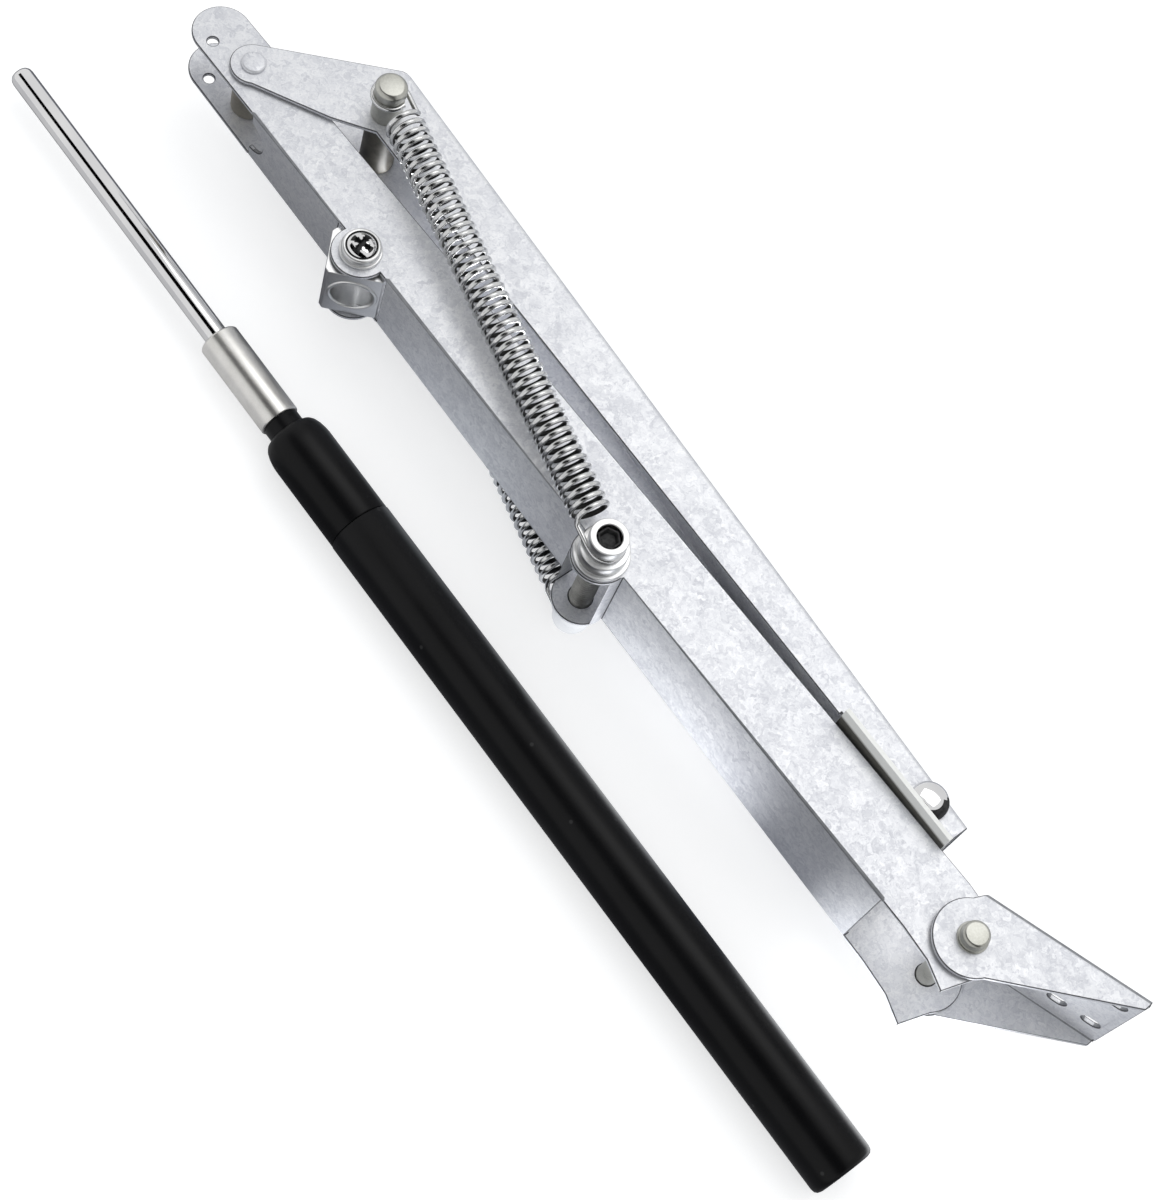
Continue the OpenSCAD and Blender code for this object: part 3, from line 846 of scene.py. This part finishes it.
seat = seat_on(upper_face, SPRING_PIN.x, 5.2)
between_ends = both_ends([
    (4.0, seat), (5.2, seat), (5.2, GROOVE_LOW), (GROOVE_RADIUS, GROOVE_LOW),
    (GROOVE_RADIUS, GROOVE_HIGH), (5.4, GROOVE_HIGH),
])
spring_pin = turn(
    "spring_pin_turned",
    [(4.2, PIN_FOOT), (5.4, PIN_FOOT + 1.2), *between_ends, (5.4, PIN_TOP - 1.2), (4.2, PIN_TOP)],
)
soften(spring_pin, 0.3)
settle(spring_pin, arm_place(SPRING_PIN), nickel, "upper", "nickel", "spring_pin")

# %% Roller
ROLLER_RADIUS = 6

half = upper_face(SPRING_PIN.x - ROLLER_RADIUS) - SHEET - 0.3
roller = ring("push_roller_turned", 4.05, ROLLER_RADIUS, -half, half)
soften(roller, 0.4)
settle(roller, arm_place(SPRING_PIN), dark_plastic, "roller", "dark_sleeve", "push_roller")

# %% [markdown]
# ## The spring bolt and its posts
# A threaded bolt passes through the two lobes near the middle of the arm. A grooved post is
# screwed on each end, over a wide washer, and the spring's hook sits in the groove. A true thread
# climbs like a stair. At this size a row of rings looks the same, and the lathe makes it in one
# go. The post's end is open and shows a hexagon.

# %% Spring bolt
SPRING_BOLT = Vector((204.0, -12.0, 0.0))
THREAD_FROM = -26.4
THREAD_TO = 25.6
PITCH = 1.4
CREST = 3.99
ROOT = 3.25
BOLT_END = (3.6, 27.1)

end_radius, end_height = BOLT_END
thread = [(end_radius, -end_height)]
z = THREAD_FROM
while z < THREAD_TO:
    thread += [(CREST, z), (CREST, z + 0.25), (ROOT, z + 0.70), (ROOT, z + 0.85)]
    z += PITCH
thread += [BOLT_END]
spring_bolt = turn("spring_bolt_thread", thread, 40)
only(spring_bolt)
bpy.ops.object.shade_smooth_by_angle(angle=math.radians(30))
settle(spring_bolt, arm_place(SPRING_BOLT), dark_thread, "lower", "nickel", "spring_bolt")

# %% Spring posts
POST_BORE = 4.05
WASHER_RIM = 9.2
POST_WASHER = 1.5
washer_seat = seat_on(lower_face, SPRING_BOLT.x, WASHER_RIM)
post_seat = washer_seat + POST_WASHER


def post(name, top):
    piece = turn(
        name,
        [(POST_BORE, post_seat), (8.0, post_seat), (8.0, GROOVE_LOW), (GROOVE_RADIUS, GROOVE_LOW),
         (GROOVE_RADIUS, GROOVE_HIGH), (6.3, GROOVE_HIGH), (6.3, top), (4.1, top), (4.1, top - 0.6),
         (POST_BORE, 26.9), (POST_BORE, post_seat)],
    )
    soften(piece, 0.35)
    return piece


upper_post = post("upper_post", PIN_TOP)
lower_post = bake_place(post("lower_post", -PIN_FOOT), HALF_TURN)
posts = join("spring_posts_turned", upper_post, lower_post)
settle(posts, arm_place(SPRING_BOLT), zinc, "lower", "zinc", "spring_posts")

# %% Hexagons in the posts
hexagon = turn(
    "hexagon", [(3.7, 27.2), (3.95, 27.6), (3.95, 30.3), (3.2, 30.3), (2.6, 28.6)], 6
)
soften(hexagon, 0.12, 2)
socket_pair = join("post_sockets", hexagon, turned_over(hexagon, "lower_hexagon"))
# Painted shade: the hexagon sockets are painted near black.
settle(socket_pair, arm_place(SPRING_BOLT), painted_shade_and_reflection, "lower", "nickel")

# %% Washers under the posts
def washers(name, bore, rim, low, high):
    piece = ring(name, bore, rim, low, high)
    soften(piece, 0.3)
    return join(name, piece, turned_over(piece, name + "_under"))


post_washers = washers(
    "spring_post_washers_turned", POST_BORE, WASHER_RIM, washer_seat, post_seat
)
settle(post_washers, arm_place(SPRING_BOLT), zinc, "lower", "zinc", "spring_post_washers")

# %% [markdown]
# ## The frame pivot pin
# The bracket swings on a headed pin. Its lower end stands on the ground, as the spring pin's and
# the lower post's do. It is one profile for the lathe, like the other pins.

# %% Frame pivot pin
rim = BRACKET_FACE
frame_pin = turn(
    "frame_pivot_pin_turned",
    [(3.4, PIN_FOOT), (4.3, -32.1), (4.3, -rim - 0.8), (5.1, -rim - 0.6), (5.1, -rim - PLAY),
     (3.5, -rim - PLAY), (3.5, rim + PLAY), (5.1, rim + PLAY), (5.1, rim + 0.6), (4.4, rim + 0.8),
     (4.4, 27.9), (3.6, 28.6)],
)
soften(frame_pin, 0.25)
settle(frame_pin, arm_place(PIVOT), nickel, "lower", "nickel", "frame_pivot_pin")

# %% [markdown]
# ## The trunnion
# A block turns between two lobes of the lower arm and carries the thread for the cylinder's neck.
# Domed screws with a cross recess hold it, over washers. The recess could be painted on, but then
# it would have no depth. It is cut with two crossed blades that taper downwards.

# %% Trunnion block and collar
TRUNNION = Vector((76.0, -11.3, 0.0))

block = skin_of("trunnion_block", "trunnion_block_skin")
soften(block, 1.1, 4, 50, 35)
even_normals(block)
zinc.paint(block)
dress(block, "block", "grey_metal", "trunnion_block")

bore_way = TRUNNION - SPRING_PIN
bore_turn = Matrix.Rotation(math.atan2(bore_way.y, bore_way.x), 4, "Z")
collar = turn(
    "socket_collar_turned",
    [(7.05, 7.6), (8.5, 7.6), (8.5, 8.6), (8.1, 8.95), (7.5, 8.95), (7.05, 8.5), (7.05, 7.6)],
)
soften(collar, 0.15, 2)
LAY_DOWN = Matrix.Rotation(math.pi / 2, 4, "Y")
settle(collar, arm_place(TRUNNION) @ bore_turn @ LAY_DOWN, zinc, "block", "grey_metal")

# %% Turn a screw
TRUNNION_WASHER = 1.2

washer_low = seat_on(lower_face, TRUNNION.x, 7.9)
head = washer_low + TRUNNION_WASHER
screw = turn(
    "trunnion_screw",
    [(2.5, 7.9), (2.5, head), (6.3, head), (6.6, head + 0.3), (6.6, head + 1.8),
     (6.35, head + 2.4), (5.8, head + 2.7), (5.2, head + 2.55), (5.0, head + 2.3),
     (4.7, head + 2.7), (3.9, head + 3.3), (2.6, head + 3.75), (0.8, head + 3.95)],
)
soften(screw, 0.15, 2)
print("screw head seated at", round(head, 3), "mm")

# %% Cut the cross
CROSS_TURN = 0.35
BLADE = (8.0, 2.1, 2.6)
BLADE_TAPER = 0.55


def cross_blade(top, turn_by):
    bpy.ops.object.select_all(action="DESELECT")
    bpy.ops.mesh.primitive_cube_add(size=1, location=(0, 0, 0))
    blade = bpy.context.object
    blade.scale = [side * MM for side in BLADE]
    blade.rotation_euler = (0, 0, turn_by + CROSS_TURN)
    blade.location = (0, 0, top * MM)
    bpy.ops.object.transform_apply(location=True, rotation=True, scale=True)
    edit("DESELECT")
    leave_edit()
    for face in blade.data.polygons:
        face.select = face.normal.z < -0.5
    bpy.ops.object.mode_set(mode="EDIT")
    bpy.ops.transform.resize(
        value=(BLADE_TAPER, BLADE_TAPER, 1), center_override=(0, 0, (top - BLADE[2] / 2) * MM)
    )
    leave_edit()
    return blade


blades = [cross_blade(head + 3.6, turn_by) for turn_by in (0, math.pi / 2)]
for blade in blades:
    cut(screw, blade)
print("screw with its cross has", len(screw.data.polygons), "faces")

# %% Finish the screws
RIM_SLOT = 0
# Painted shade: the cross recess and the groove round the dome are painted near black.
SHADE_SLOT = 1
DOME_SLOT = 2
RIM_RADIUS = 5.45
DOME_RADIUS = 4.75
CROSS_REACH = 4.1
CROSS_WIDTH = 1.1


def screw_slot(face):
    middle = Matrix.Rotation(-CROSS_TURN, 3, "Z") @ face.center / MM
    wide, narrow = sorted((abs(middle.x), abs(middle.y)), reverse=True)
    reach = math.hypot(middle.x, middle.y)
    if middle.z < head + 1.0 or reach > RIM_RADIUS:
        return RIM_SLOT
    in_cross = narrow < CROSS_WIDTH and wide < CROSS_REACH
    in_groove = reach > DOME_RADIUS
    if in_cross or in_groove:
        return SHADE_SLOT
    return DOME_SLOT


for finish in (zinc, painted_shade_and_reflection, chrome):
    screw.data.materials.append(finish.material)
for face in screw.data.polygons:
    face.material_index = screw_slot(face)
screws = join("trunnion_screws_turned", screw, turned_over(screw, "lower_screw"))
only(screws)
bpy.ops.object.shade_smooth_by_angle(angle=math.radians(35))
bake_place(screws, arm_place(TRUNNION))
dress(screws, "block", "zinc", "trunnion_screws")

# %% Washers under the screws
trunnion_washers = washers(
    "trunnion_washers_turned", 2.55, 7.1, head - TRUNNION_WASHER, head
)
settle(trunnion_washers, arm_place(TRUNNION), zinc, "block", "zinc", "trunnion_washers")

# %% [markdown]
# ## The clip's bolt and nut
# The bolt has a domed head with one flat side that bears on the raised edge of the clip, so it
# cannot turn. A dome is turned first, and a bisecting plane takes the flat off it, which is
# simpler than to shape the flat by hand. The side of the dome that faces the far end of the arm
# is dark in the photograph and gets a dark slot, a painted dark reflection. The nut is a turned
# profile with six sides.

# %% Clip bolt
CLIP_EDGE = 17.277
FLAT_PLAY = 0.1
DARK_REFLECTION_FROM = 2.4

head = seat_on(upper_face, CLIP_BOLT.x, 6.3)
clip_head = turn(
    "clip_bolt_head",
    [(6.1, head), (6.3, head + 0.2), (6.3, head + 1.4), (5.9, head + 2.3), (5.0, head + 3.05),
     (3.7, head + 3.6), (2.2, head + 3.9), (0.8, head + 4.0)],
)
only(clip_head)
edit()
bpy.ops.mesh.bisect(
    plane_co=(0, (CLIP_EDGE + FLAT_PLAY - CLIP_BOLT.y) * MM, 0),
    plane_no=(0, 1, 0),
    use_fill=True,
    clear_inner=True,
)
leave_edit()
soften(clip_head, 0.25, 2, 50)
shank = turn("clip_bolt_shank", [(2.0, PIN_FOOT), (2.5, -32.4), (2.5, head + 0.3)], 40)
soften(shank, 0.15, 2)
clip_bolt = join("vent_clip_bolt_turned", clip_head, shank)
bake_place(clip_bolt, arm_place(CLIP_BOLT))
chrome.paint(clip_bolt)
# Painted dark reflection: the dome's side towards the far end of the arm gets the near-black
# finish.
clip_bolt.data.materials.append(painted_shade_and_reflection.material)
for face in clip_bolt.data.polygons:
    place = ARM_BACK @ face.center / MM - CLIP_BOLT
    if place.z > head and in_arm(face.normal).x > 0.25 and place.x > DARK_REFLECTION_FROM:
        face.material_index = 1
dress(clip_bolt, "upper", "nickel", "vent_clip_bolt")

# %% Clip nut
NUT_BORE = 2.55
NUT_HEIGHT = 4.0

top = -seat_on(upper_face, CLIP_BOLT.x, 4.7)
nut = turn(
    "vent_clip_nut_hex",
    [(NUT_BORE, top - NUT_HEIGHT), (4.1, top - NUT_HEIGHT), (4.6, top - 3.6), (4.6, top - 0.3),
     (4.3, top), (NUT_BORE, top), (NUT_BORE, top - NUT_HEIGHT)],
    6,
)
soften(nut, 0.15, 2)
settle(nut, arm_place(CLIP_BOLT), zinc, "upper", "zinc", "vent_clip_nut")

# %% [markdown]
# ## The springs
# Each extension spring is one length of wire: a hook round the bolt's post, a straight lead, the
# coils, and an eye round the spring pin. A Screw modifier could make the coils but not the ends,
# so a curve follows the whole path and carries a round section. The inner side of the coils is
# painted near black as shade between the coils.

# %% The path of the wire
COIL = 5.8
LOOP = 5.7
LEAD_HEIGHT = LOOP + 0.15
COIL_START = 10.5
TURNS = 44
PER_TURN = 16
LEAD_POINTS = (1.5, 3.0, 5.0)
RUN_IN_POINTS = (1.2, 2.2, 3.4)

spring_way = SPRING_PIN - SPRING_BOLT
reach = spring_way.length
swing = math.atan2(spring_way.y, spring_way.x)
COIL_END = reach - COIL_START


def loop_point(middle, degrees):
    angle = math.radians(degrees)
    return (middle + LOOP * math.cos(angle), LOOP * math.sin(angle), 0.0)


def spring_path():
    points = [loop_point(0.0, degrees) for degrees in range(30, -271, -15)]
    lead = [*LEAD_POINTS, *(COIL_START - x for x in reversed(RUN_IN_POINTS))]
    points += [(x, LEAD_HEIGHT, 0.0) for x in lead]
    wide = COIL / (1 - (2 * math.pi / PER_TURN) ** 2 / 6)
    steps = TURNS * PER_TURN + PER_TURN // 2
    for i in range(1, steps):
        angle = 2 * math.pi * i / PER_TURN
        x = COIL_START + (COIL_END - COIL_START) * i / steps
        points.append((x, wide * math.cos(angle), wide * math.sin(angle)))
    lead = [*(COIL_END + x for x in RUN_IN_POINTS), *(reach - x for x in reversed(LEAD_POINTS))]
    points += [(x, -LEAD_HEIGHT, 0.0) for x in lead]
    points += [loop_point(reach, degrees) for degrees in range(-90, 211, 15)]
    return points


print("wire path:", len(spring_path()), "points over", round(reach, 2), "mm")

# %% Wind the springs
WIRE_RADIUS = 0.9
SPRING_HEIGHT = 25.5
INNER_SIDE = COIL - 0.15


def wind(name, height):
    bpy.ops.object.select_all(action="DESELECT")
    curve = bpy.data.curves.new(name, "CURVE")
    curve.dimensions = "3D"
    curve.bevel_depth = WIRE_RADIUS * MM
    curve.bevel_resolution = 2
    curve.use_fill_caps = True
    spline = curve.splines.new("NURBS")
    path = spring_path()
    spline.points.add(len(path) - 1)
    for point, place in zip(spline.points, path):
        point.co = (*(Vector(place) * MM), 1.0)
    spline.use_endpoint_u = True
    spline.order_u = 4
    spline.resolution_u = 2
    obj = bpy.data.objects.new(name, curve)
    bpy.context.scene.collection.objects.link(obj)
    only(obj)
    bpy.ops.object.convert(target="MESH")
    obj = bpy.context.object
    wire_steel.paint(obj)
    # Painted shade: wire faces on the inner side of the coils get the near-black finish.
    obj.data.materials.append(painted_coil_shade.material)
    for face in obj.data.polygons:
        x, y, z = face.center / MM
        if COIL_START < x < COIL_END and math.hypot(y, z) < INNER_SIDE:
            face.material_index = 1
    stand = SPRING_BOLT + Vector((0, 0, height))
    bake_place(obj, arm_place(stand) @ Matrix.Rotation(swing, 4, "Z"))
    only(obj)
    bpy.ops.object.shade_smooth()
    return obj


for name, height in (("front_spring", SPRING_HEIGHT), ("rear_spring", -SPRING_HEIGHT)):
    spring = wind(name + "_wire", height)
    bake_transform(spring)
    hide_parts(name, name + "_eye")
    print(spring.name, "has", len(spring.data.polygons), "faces")

# %% [markdown]
# ## The cylinder
# The wax cylinder is lathe work too: a chrome rod with a rounded tip, a pale threaded sleeve, a
# black neck and shoulder, and a long black tube. They could be turned where they lie. It is
# easier to turn them along Z from the rod's tip and to lay them all down with one matrix.

# %% Where the cylinder lies
TUBE_RADIUS = 11.0
CYLINDER_ASIDE = -54.6
CYLINDER_TURN = math.radians(-0.35)
ROD_TIP = -55.2
LAID = (
    arm_place(Vector((0, CYLINDER_ASIDE, TUBE_RADIUS - ELBOW.z)))
    @ Matrix.Rotation(CYLINDER_TURN, 4, "Z")
    @ Matrix.Translation(Vector((ROD_TIP, 0, 0)) * MM)
    @ LAY_DOWN
)
ROD_OUT = 118.8
NECK = ROD_OUT + 35.5
SHOULDER = NECK + 5.4
SEAM = SHOULDER + 39.3
FOOT = SEAM + 253.0
SPIGOT = SEAM + 16
print("cylinder and rod are", round(FOOT, 1), "mm long")

# %% Rod and sleeve
PISTON = SPIGOT + 10
ROD_END = PISTON + 13

rod = turn(
    "piston_rod_turned",
    [(1.2, 0.0), (2.4, 0.12), (3.3, 0.55), (3.8, 1.3), (4.0, 2.4), (4.0, ROD_END)],
)
soften(rod, 0.1, 2)
settle(rod, LAID, chrome, "piston", "chrome", "piston_rod")

sleeve = turn(
    "threaded_sleeve_turned",
    [(5.6, ROD_OUT), (6.4, ROD_OUT), (6.95, ROD_OUT + 0.6), (6.95, NECK - 0.4), (6.6, NECK),
     (5.6, NECK), (5.6, ROD_OUT)],
)
soften(sleeve, 0.2)
settle(sleeve, LAID, pale_sleeve, "cylinder", "grey_metal", "threaded_sleeve")

# %% Cap
ROD_BORE = 4.3

cap = turn(
    "cylinder_cap_turned",
    [(ROD_BORE, ROD_OUT + 2), (5.55, ROD_OUT + 2), (5.55, NECK + PLAY), (6.3, NECK + PLAY),
     (6.3, SHOULDER), (8.2, SHOULDER), (8.8, SHOULDER + 0.3), (9.6, SHOULDER + 1.4),
     (10.3, SHOULDER + 3.4), (10.7, SHOULDER + 5.6), (10.85, SHOULDER + 7.6), (10.85, SEAM - 0.5),
     (10.5, SEAM), (9.45, SEAM), (9.45, SPIGOT), (7.05, SPIGOT), (7.05, SHOULDER + 4),
     (ROD_BORE, SHOULDER + 4), (ROD_BORE, ROD_OUT + 2)],
)
soften(cap, 0.2, 3, 40, 45)
settle(cap, LAID, black_coat, "cylinder", "black_paint", "cylinder_cap")

# %% Tube
TUBE_BORE = 9.5
TUBE_FLOOR = FOOT - 1.5

tube = turn(
    "cylinder_tube_turned",
    [(TUBE_BORE, SEAM + PLAY), (10.6, SEAM + PLAY), (TUBE_RADIUS, SEAM + 0.5),
     (TUBE_RADIUS, FOOT - 2.4), (10.7, FOOT - 1.1), (10.0, FOOT - 0.35), (8.9, FOOT), (7.5, FOOT),
     (7.5, TUBE_FLOOR), (TUBE_BORE, TUBE_FLOOR), (TUBE_BORE, SEAM + PLAY)],
    96,
)
soften(tube, 0.25, 3, 40, 45)
settle(tube, LAID, black_coat, "cylinder", "black_paint", "cylinder_tube")

# %% Pieces inside the cylinder keep their solids
zinc.paint(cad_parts["rod_guide"])
black_coat.paint(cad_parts["tube_end_plug"])
nickel.paint(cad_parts["piston_head"])
wax.paint(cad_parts["wax_charge"])
rubber.paint(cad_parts["piston_seal"])
print("inner pieces painted")

# %% [markdown]
# ## The floor
# The photograph is a plain studio shot on white. A pale floor keeps the object's shadow, but a
# floor that is lit to white would flood the object with light from below. So the camera, and
# every mirror ray, sees the floor brighter than the lamps make it, and the light that it throws
# back onto the object stays that of a plain pale floor.

# %% Floor
SEEN_RAYS = ("Is Camera Ray", "Is Glossy Ray", "Is Transmission Ray")
NO_LIGHT = (0.0, 0.0, 0.0, 1.0)
FLOOR_GREY = (0.60, 0.60, 0.60, 1.0)
FLOOR_GLOW = (0.57, 0.57, 0.57, 1.0)


def flat_card(name, size, height=0.0):
    bpy.ops.object.select_all(action="DESELECT")
    bpy.ops.mesh.primitive_plane_add(size=size, location=(0, 0, height))
    obj = bpy.context.object
    obj.name = name
    return obj


def matt(name, colour, rough):
    finish = Finish(name, Roughness=rough)
    finish.feed("Specular IOR Level", 0.0)
    finish.feed("Base Color", colour)
    return finish


def seen_by(graph):
    """One for rays of the camera, of mirrors and of glass, nought for soft light."""
    camera_ray, mirror_ray, glass_ray = (
        graph.node("ShaderNodeLightPath", output=name) for name in SEEN_RAYS
    )
    return camera_ray + mirror_ray + glass_ray


floor = flat_card("floor", 40)
pale = matt("Pale floor", FLOOR_GREY, 0.9)
pale.feed("Emission Color", pale.blend(seen_by(pale), NO_LIGHT, FLOOR_GLOW))
pale.feed("Emission Strength", 1.0)
pale.paint(floor)
print("floor:", floor.dimensions.x, "m wide")

# %% [markdown]
# ## A graduated card
# Bare metal shows what stands around it. In the photograph the webs are dark near the elbow,
# bright in the middle and dark again before the bracket, which a plain white floor can't give. A
# photographer lays a graded card beside the metal for this, out of the picture. Here the card
# lies on the floor, and only mirror rays see it. It glows with a tone that changes along the arm
# and across it, so what the metal shows of it is a painted reflection.

# %% Where a point of the card lies
CARD_LENGTH = 0.5

graded = matt("Glowing card of painted reflections", (0.12, 0.12, 0.13, 1.0), 0.9)


def distance_along(axis):
    way = ARM.to_3x3() @ Vector(axis)
    far = graded.node(
        "ShaderNodeVectorMath",
        {"operation": "DOT_PRODUCT"},
        {0: graded.places(), 1: way},
        output="Value",
    )
    return far - way.dot(ARM.translation)


along_arm = distance_along((1, 0, 0)) / CARD_LENGTH
aside = distance_along((0, 1, 0))
print("card graded over", CARD_LENGTH, "m along the arm")

# %% Tones of the card
CARD_DARK = (0.03, 0.03, 0.033, 1.0)
CARD_MIDDLE = (0.36, 0.37, 0.39, 1.0)

# Painted reflections: the glow along the webs, dark by the elbow and bright in the middle.
by_web = graded.ramp(
    along_arm,
    (0.048, (0.02, 0.021, 0.028)),
    (0.128, (0.03, 0.032, 0.042)),
    (0.216, (0.42, 0.44, 0.48)),
    (0.280, (0.60, 0.63, 0.67)),
    (0.360, (0.30, 0.31, 0.34)),
    (0.448, (1.35, 1.38, 1.43)),
    (0.520, (1.80, 1.83, 1.88)),
    (0.560, (1.35, 1.38, 1.46)),
    (0.596, (0.13, 0.14, 0.17)),
    (0.640, (0.10, 0.11, 0.14)),
    (0.688, (2.1, 2.14, 2.2)),
    (0.760, (2.6, 2.64, 2.7)),
    (0.820, (2.4, 2.44, 2.5)),
    (0.860, (0.90, 0.92, 0.96)),
    (0.920, (0.50, 0.52, 0.56)),
)
by_rod = graded.ramp(along_arm, (0.180, (0.48, 0.48, 0.48)), (0.212, (0.03, 0.03, 0.033)))
past_rod = graded.fade(aside, -0.066, -0.054, 1.0, 0.0, "SMOOTHSTEP")
past_web = graded.fade(aside, 0.0, 0.025, 0.0, 1.0, "SMOOTHSTEP")
near_web = graded.fade(aside, -0.040, -0.029, 0.04, 1.0, "SMOOTHSTEP")
rod_side = graded.blend(past_rod, CARD_DARK, by_rod)
web_side = graded.blend(past_web, by_web, CARD_MIDDLE)
graded.feed("Emission Color", graded.blend(near_web, rod_side, web_side))
graded.feed("Emission Strength", 1.0)
print("graduated card:", len(graded.tree.nodes), "nodes")

# %% Lay the card down
graded_card = flat_card("graduated_card", 1.3, 0.0002)
graded.paint(graded_card)
graded_card.visible_camera = False
graded_card.visible_diffuse = False
graded_card.visible_transmission = False
graded_card.visible_shadow = False
print("graduated card:", round(graded_card.dimensions.x, 2), "m wide")

# %% [markdown]
# ## A black card
# The dark line along the chrome rod is the dark side of the room behind the camera. A darker
# finish would darken the whole rod. A black card stands there instead, out of the picture, long
# along the tube and narrow across it, so that the rod mirrors it as one line.

# %% Black card
CARD_SIZE = (3.4, 0.62)
CARD_BEHIND = 0.12

card = flat_card("black_card", 1)
tube_way = (ARM.to_3x3() @ Vector((1, -0.006, 0))).normalized()
across = back.cross(tube_way).normalized()
along = across.cross(back).normalized()
facing = Matrix((along * CARD_SIZE[0], across * CARD_SIZE[1], back)).transposed()
card.matrix_world = (
    Matrix.Translation(camera.location + back * CARD_BEHIND) @ facing.to_4x4()
)
matt("Black card", (0.002, 0.002, 0.002, 1.0), 0.95).paint(card)
card.visible_camera = False
card.visible_diffuse = False
card.visible_shadow = False
print("black card:", CARD_SIZE, "m")

# %% [markdown]
# ## The lamps
# A broad softbox hangs where the flanges near the bracket mirror it, which makes the arms brighter
# towards that end. In the photograph some light also reaches into the channels. A stronger softbox
# would brighten everything, so two small strips do it instead: one lies between the arms and
# shines up, and one by the bracket shines down and is hidden from mirrors.

# %% Lamps
SOFTBOX_PLACE = Vector((0.10, 0.64, 1.4))


def lamp(name, place, rotation, size, power):
    bpy.ops.object.light_add(type="AREA", location=place)
    light = bpy.context.object
    light.name = name
    light.data.shape = "RECTANGLE"
    light.data.size = size[0]
    light.data.size_y = size[1]
    light.data.energy = power
    light.rotation_euler = rotation
    light.visible_camera = False
    print(name, power, "W")
    return light


aim = (-SOFTBOX_PLACE).to_track_quat("-Z", "Y").to_euler()
lamp("Overhead softbox", SOFTBOX_PLACE, aim, (1.25, 0.75), 3.6)
upwards = (math.pi, 0, TILT)
lamp("Bounce between the arms", arm_point(120, 24, -13.5), upwards, (0.15, 0.005), 0.024)
downwards = (0, 0, TILT)
fill = lamp("Fill by the bracket", arm_point(372, -2, 2), downwards, (0.070, 0.014), 0.011)
fill.visible_glossy = False

# %% [markdown]
# ## The world
# The world lights the object softly from all sides, a little cool. The camera and the mirrors see
# it as plain grey, so the picture's background does not depend on how strong that light is.

# %% World
world = bpy.data.worlds.new("Studio")
bpy.context.scene.world = world
world.use_nodes = True
studio = Graph(world.node_tree)
studio.tree.nodes.clear()
soft_light = studio.node(
    "ShaderNodeBackground", {}, {"Color": (0.96, 0.98, 1.0, 1.0), "Strength": 0.86}
)
backdrop = studio.node(
    "ShaderNodeBackground", {}, {"Color": (0.8, 0.8, 0.8, 1.0), "Strength": 1.0}
)
shown = studio.node(
    "ShaderNodeMixShader", {}, {0: seen_by(studio), 1: soft_light, 2: backdrop}
)
studio.node("ShaderNodeOutputWorld", {}, {"Surface": shown})
bpy.context.scene.view_settings.view_transform = "Standard"
print("studio world:", len(studio.tree.nodes), "nodes")
